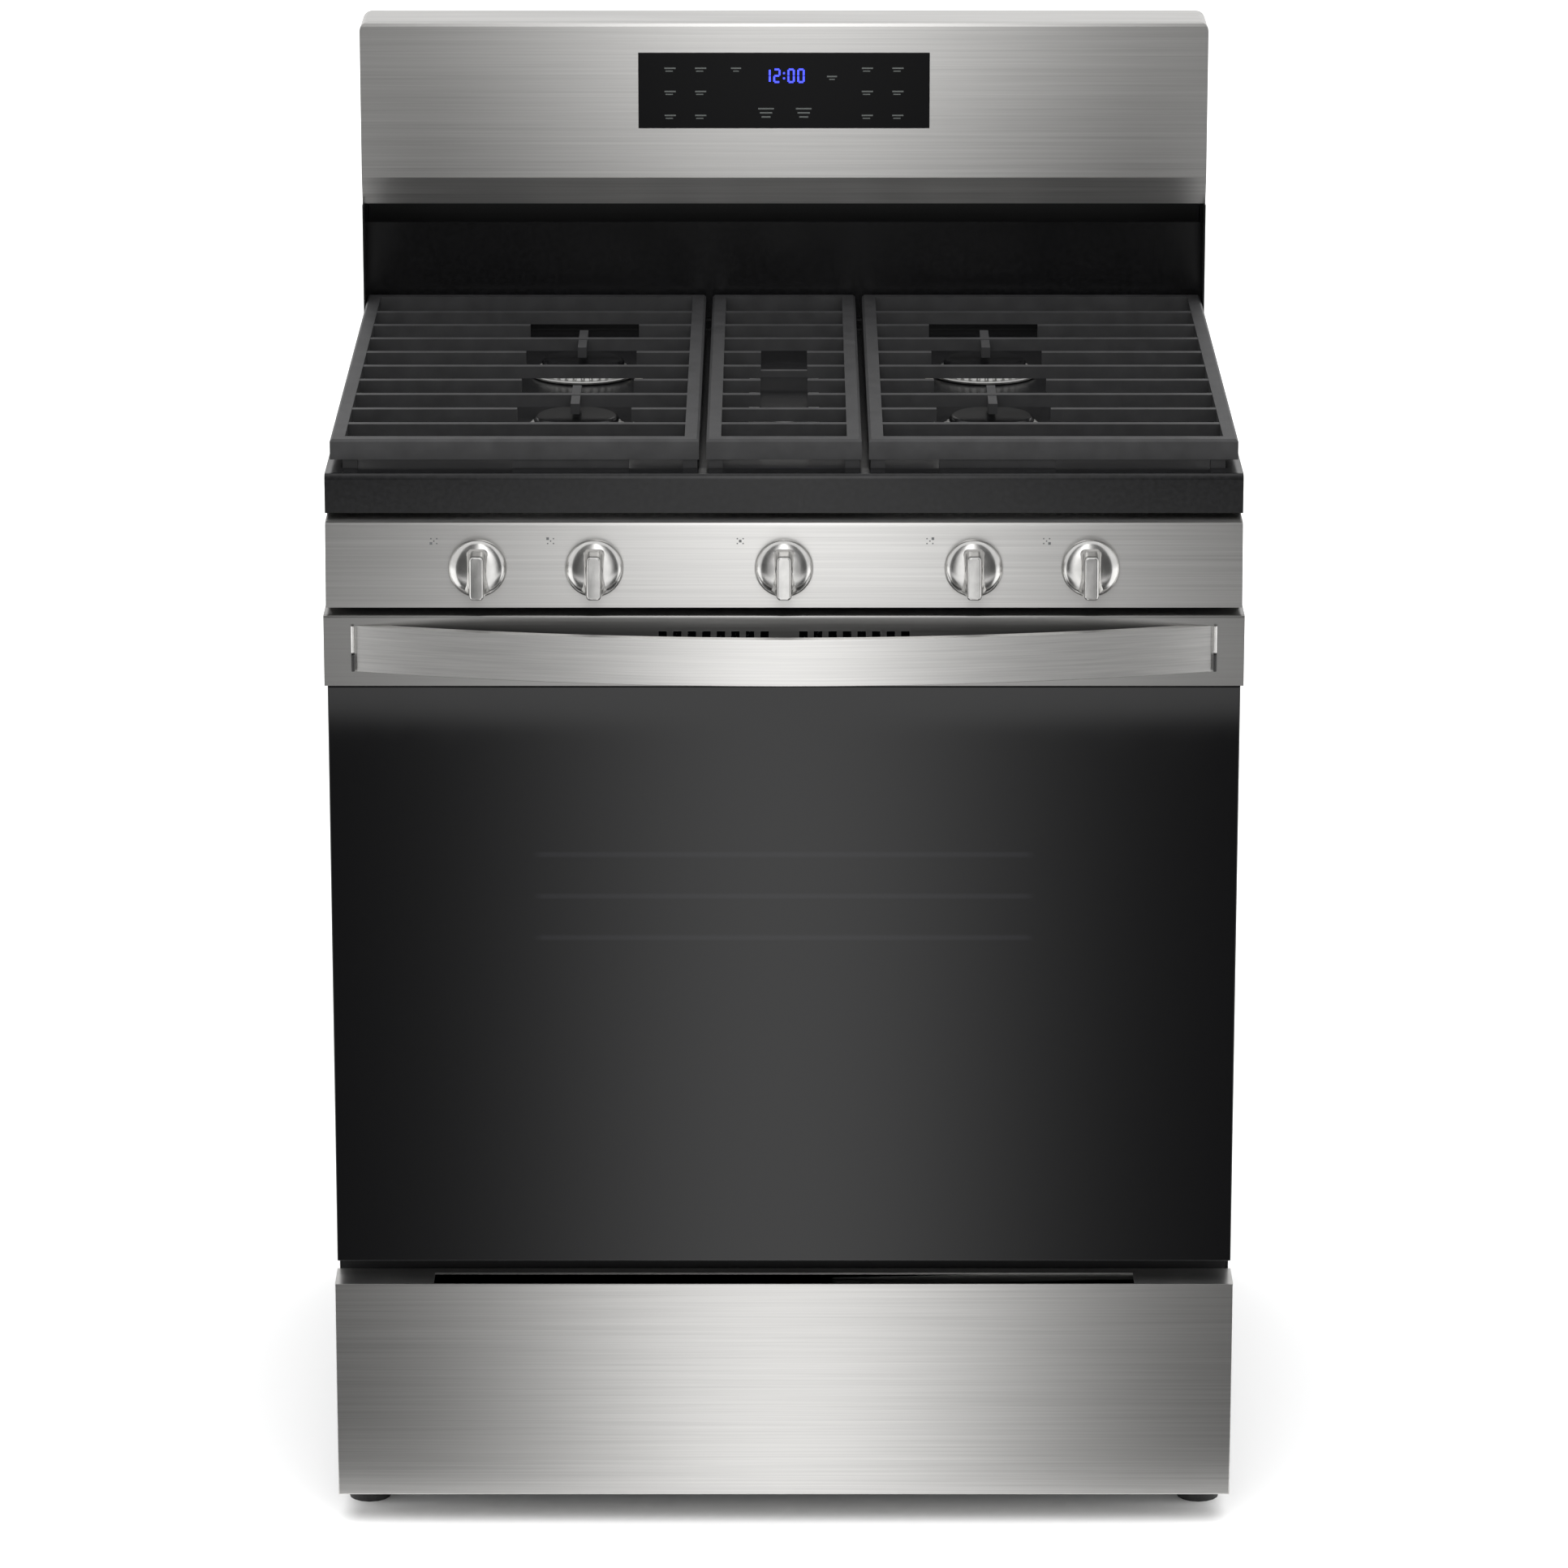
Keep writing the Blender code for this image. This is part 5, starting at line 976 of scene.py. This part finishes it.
class ControlPieces(bpy.types.Operator):
    """Finish the control panel and its knobs, and print the burner marks"""
    bl_idname = "gas_range.controls"
    bl_label = "Controls"

    def execute(self, context):
        sizes = context.scene.range_sizes
        dress("brushed_stainless", ("control_panel",), sizes.edge)
        dress("bright_steel", ["valve_stem_" + name for name in BURNERS])
        shape = self.knob_shape()
        marks = bmesh.new()
        for index, name in enumerate(BURNERS):
            joint = next(j for j in frame["joints"] if j["name"] == "knob_turn_" + name)
            out = Vector(joint["axis"]).normalized()
            across = Vector((1.0, 0.0, 0.0))
            up = out.cross(across)
            place = Matrix((across, up, out)).transposed().to_4x4()
            place.translation = Vector(joint["pos_m"])
            bm = bmesh.new()
            bm.from_mesh(shape)
            bmesh.ops.transform(bm, verts=bm.verts, matrix=place)
            knob = add_piece("knob_grip_" + name, bm, "knob_metal", "knob_" + name)
            flatter = knob.modifiers.new("Flat shading", "WEIGHTED_NORMAL")
            flatter.keep_sharp = True
            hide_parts("knob_" + name)
            face = Matrix((across, -out, up)).transposed().to_4x4()
            face.translation = Vector(joint["pos_m"]) + out * INK_LIFT
            self.burner_mark(marks, face, index)
        add_piece("burner_marks", marks, "panel_ink", "root", smooth=False)
        return {"FINISHED"}

    def burner_mark(self, bm, face, index):
        """Five squares in the burners' layout, the knob's own burner drawn larger."""
        left, up = -36 * MM, 22 * MM
        spots = ((-1, -1), (-1, 1), (0, 0), (1, 1), (1, -1))
        for i, (x, z) in enumerate(spots):
            size = 2.2 * MM if i == index else 1.1 * MM
            plate(bm, (left + x * 2.4 * MM, up + z * 2.0 * MM), size, size, INK_LIFT, face)

    def knob_shape(self):
        """A domed skirt with a blind bore, and an upright grip that flares where it meets the dome."""
        # Radius and height of the skirt, from the bore's end out round the dome to its boss, in mm
        profile = ((5.2, 23.4), (5.2, 3.9), (23.4, 3.9), (23.9, 4.5), (23.9, 5.6), (23.3, 7.2), (22.0, 8.8),
                   (19.8, 10.3), (16.8, 11.5), (13.0, 12.3), (8.0, 12.8), (6.5, 24.8), (3.0, 25.0))
        skirt = bmesh.new()
        spun(skirt, [(r * MM, h * MM) for r, h in profile], 72)
        # Half width, bottom, top and height of each of the grip's sections, in mm
        sections = ((11.2, -21.0, 17.5, 7.0), (10.6, -21.4, 17.0, 10.0), (8.4, -22.3, 16.6, 12.2),
                    (7.0, -22.8, 16.2, 14.5), (6.5, -23.2, 15.6, 18.0), (6.2, -23.4, 13.2, 27.5),
                    (5.9, -23.3, 12.6, 30.0), (5.2, -22.8, 12.0, 31.3), (4.2, -22.0, 11.2, 31.9))
        grip = bmesh.new()
        loft(grip, [rounded(w * MM, low * MM, high * MM, h * MM) for w, low, high, h in sections])
        return fused(skirt, grip)


class DoorPieces(bpy.types.Operator):
    """Finish the door, its handle, window and glass"""
    bl_idname = "gas_range.door"
    bl_label = "Oven door"

    def execute(self, context):
        sizes = context.scene.range_sizes
        # The handle takes the lightened copy of the stainless: painted light on the strap
        dress("blasted_stainless", ("door_handle",), sizes.edge)
        # The trim takes the darkened copy of the stainless: painted shade below the console
        dress("satin_stainless", ("door_trim",), sizes.edge)
        for name, side in SIDES:
            self.handle_highlight_end(name, side)
        self.handle_lining()
        dress("black_glass", ("door_glass",), 0.5 * MM)
        dress("window_glass", ("door_window",), 0.3 * MM)
        dress("oven_enamel", ("door_liner",), 0.6 * MM)
        dress("bright_steel", ("hinge_arm_left", "hinge_arm_right"), 0.3 * MM)
        return {"FINISHED"}

    def handle_lining(self):
        """A black sheet behind the handle's back, following its bow: painted shade, so the trim behind
        mirrors a dark band.
        """
        handle = NODES["door_handle"]
        low, high = corners("door_handle")
        surface = BVHTree.FromPolygons([handle.matrix_world @ v.co for v in handle.data.vertices],
                                       [tuple(p.vertices) for p in handle.data.polygons])
        half = high.x - 60 * MM
        gap = 0.5 * MM
        thick = 0.8 * MM
        inset = 3 * MM
        slope = 0.5 * MM
        steps = 40
        behind = Vector((0.0, high.y + 0.1, (low.z + high.z) / 2))
        rings = []
        for i in range(steps + 1):
            x = half * (2 * i / steps - 1.0)
            y = surface.ray_cast(behind + Vector((x, 0.0, 0.0)), Vector((0.0, -1.0, 0.0)))[0].y + gap
            rings.append([(x, y, low.z + inset), (x, y + thick, low.z + inset + slope),
                          (x, y + thick, high.z - inset - slope), (x, y, high.z - inset)])
        bm = bmesh.new()
        loft(bm, rings)
        add_piece("handle_lining", bm, "textured_paint", "door", smooth=False)

    def handle_highlight_end(self, name, side):
        """A bright chrome cap on the end of the handle's strap, a painted highlight where the strap's end
        catches light, and a black block below it.
        """
        low, high = corners("door_handle")
        root = corners("door_trim")[0].y - 0.1 * MM
        shoulder, front = root - 3.1 * MM, root - 3.9 * MM
        chamfer = 0.8 * MM
        edges = sorted((side * (high.x + 0.1 * MM), side * (high.x + 2.6 * MM)))
        ring = [(edges[0], root), (edges[0], shoulder), (edges[0] + chamfer, front),
                (edges[1] - chamfer, front), (edges[1], shoulder), (edges[1], root)]
        # The chrome cap stands in for the light on the strap's end: a painted highlight
        for piece, finish, slot, bottom, top in (
                ("handle_end_", "knob_metal", "knob_metal", low.z + 17 * MM, high.z),
                ("handle_plug_", "foot_nylon", None, low.z + 1 * MM, low.z + 15 * MM)):
            bm = bmesh.new()
            loft(bm, [[(x, y, z) for x, y in ring] for z in (bottom, top)])
            add_piece(piece + name, bm, finish, "door")


class DrawerPieces(bpy.types.Operator):
    """Finish the storage drawer and its rails"""
    bl_idname = "gas_range.drawer"
    bl_label = "Drawer"

    def execute(self, context):
        sizes = context.scene.range_sizes
        dress("brushed_stainless", ("drawer_front",), 0.5 * sizes.edge)
        dress("galvanised_steel", ("drawer_box",))
        dress("bright_steel", ("drawer_rail_left", "drawer_rail_right"))
        return {"FINISHED"}


class OvenPieces(bpy.types.Operator):
    """Finish the oven's lining, racks, burners, lamp and probe"""
    bl_idname = "gas_range.oven"
    bl_label = "Oven"

    def execute(self, context):
        dress("oven_enamel", ("oven_liner", "oven_floor"), 0.3 * MM)
        dress("rack_chrome", ("oven_rack_upper", "oven_rack_lower"), 0.8 * MM)
        dress("bright_steel", ("bake_burner", "broil_burner", "oven_temperature_probe"))
        dress("lamp_glass", ("oven_lamp",))
        dress("gasket_cord", ("door_gasket",))
        return {"FINISHED"}


OPERATORS = (StagePieces, CabinetPieces, ConsolePieces, CooktopPieces, ControlPieces, DoorPieces,
             DrawerPieces, OvenPieces)
SETTINGS = (("range_colours", RangeColours), ("range_sizes", RangeSizes), ("range_stage", RangeStage))


class RangePanel(bpy.types.Panel):
    """Colours, sizes and pieces of the gas range"""
    bl_idname = "VIEW3D_PT_gas_range"
    bl_label = "Gas Range"
    bl_space_type = "VIEW_3D"
    bl_region_type = "UI"
    bl_category = "Gas Range"

    def draw(self, context):
        for name, group in SETTINGS:
            box = self.layout.box()
            values = getattr(context.scene, name)
            for key in group.__annotations__:
                box.prop(values, key)
        for operator in OPERATORS:
            self.layout.operator(operator.bl_idname)


def register():
    for name, group in SETTINGS:
        bpy.utils.register_class(group)
        setattr(bpy.types.Scene, name, bpy.props.PointerProperty(type=group))
    for item in OPERATORS + (RangePanel,):
        bpy.utils.register_class(item)


def unregister():
    for item in reversed(OPERATORS + (RangePanel,)):
        bpy.utils.unregister_class(item)
    for name, group in reversed(SETTINGS):
        delattr(bpy.types.Scene, name)
        bpy.utils.unregister_class(group)


def main():
    register()
    make_finishes()
    for operator in OPERATORS:
        group, call = operator.bl_idname.split(".")
        if getattr(getattr(bpy.ops, group), call)() != {"FINISHED"}:
            raise RuntimeError(operator.bl_label + " was not finished")


if __name__ == "__main__":
    main()
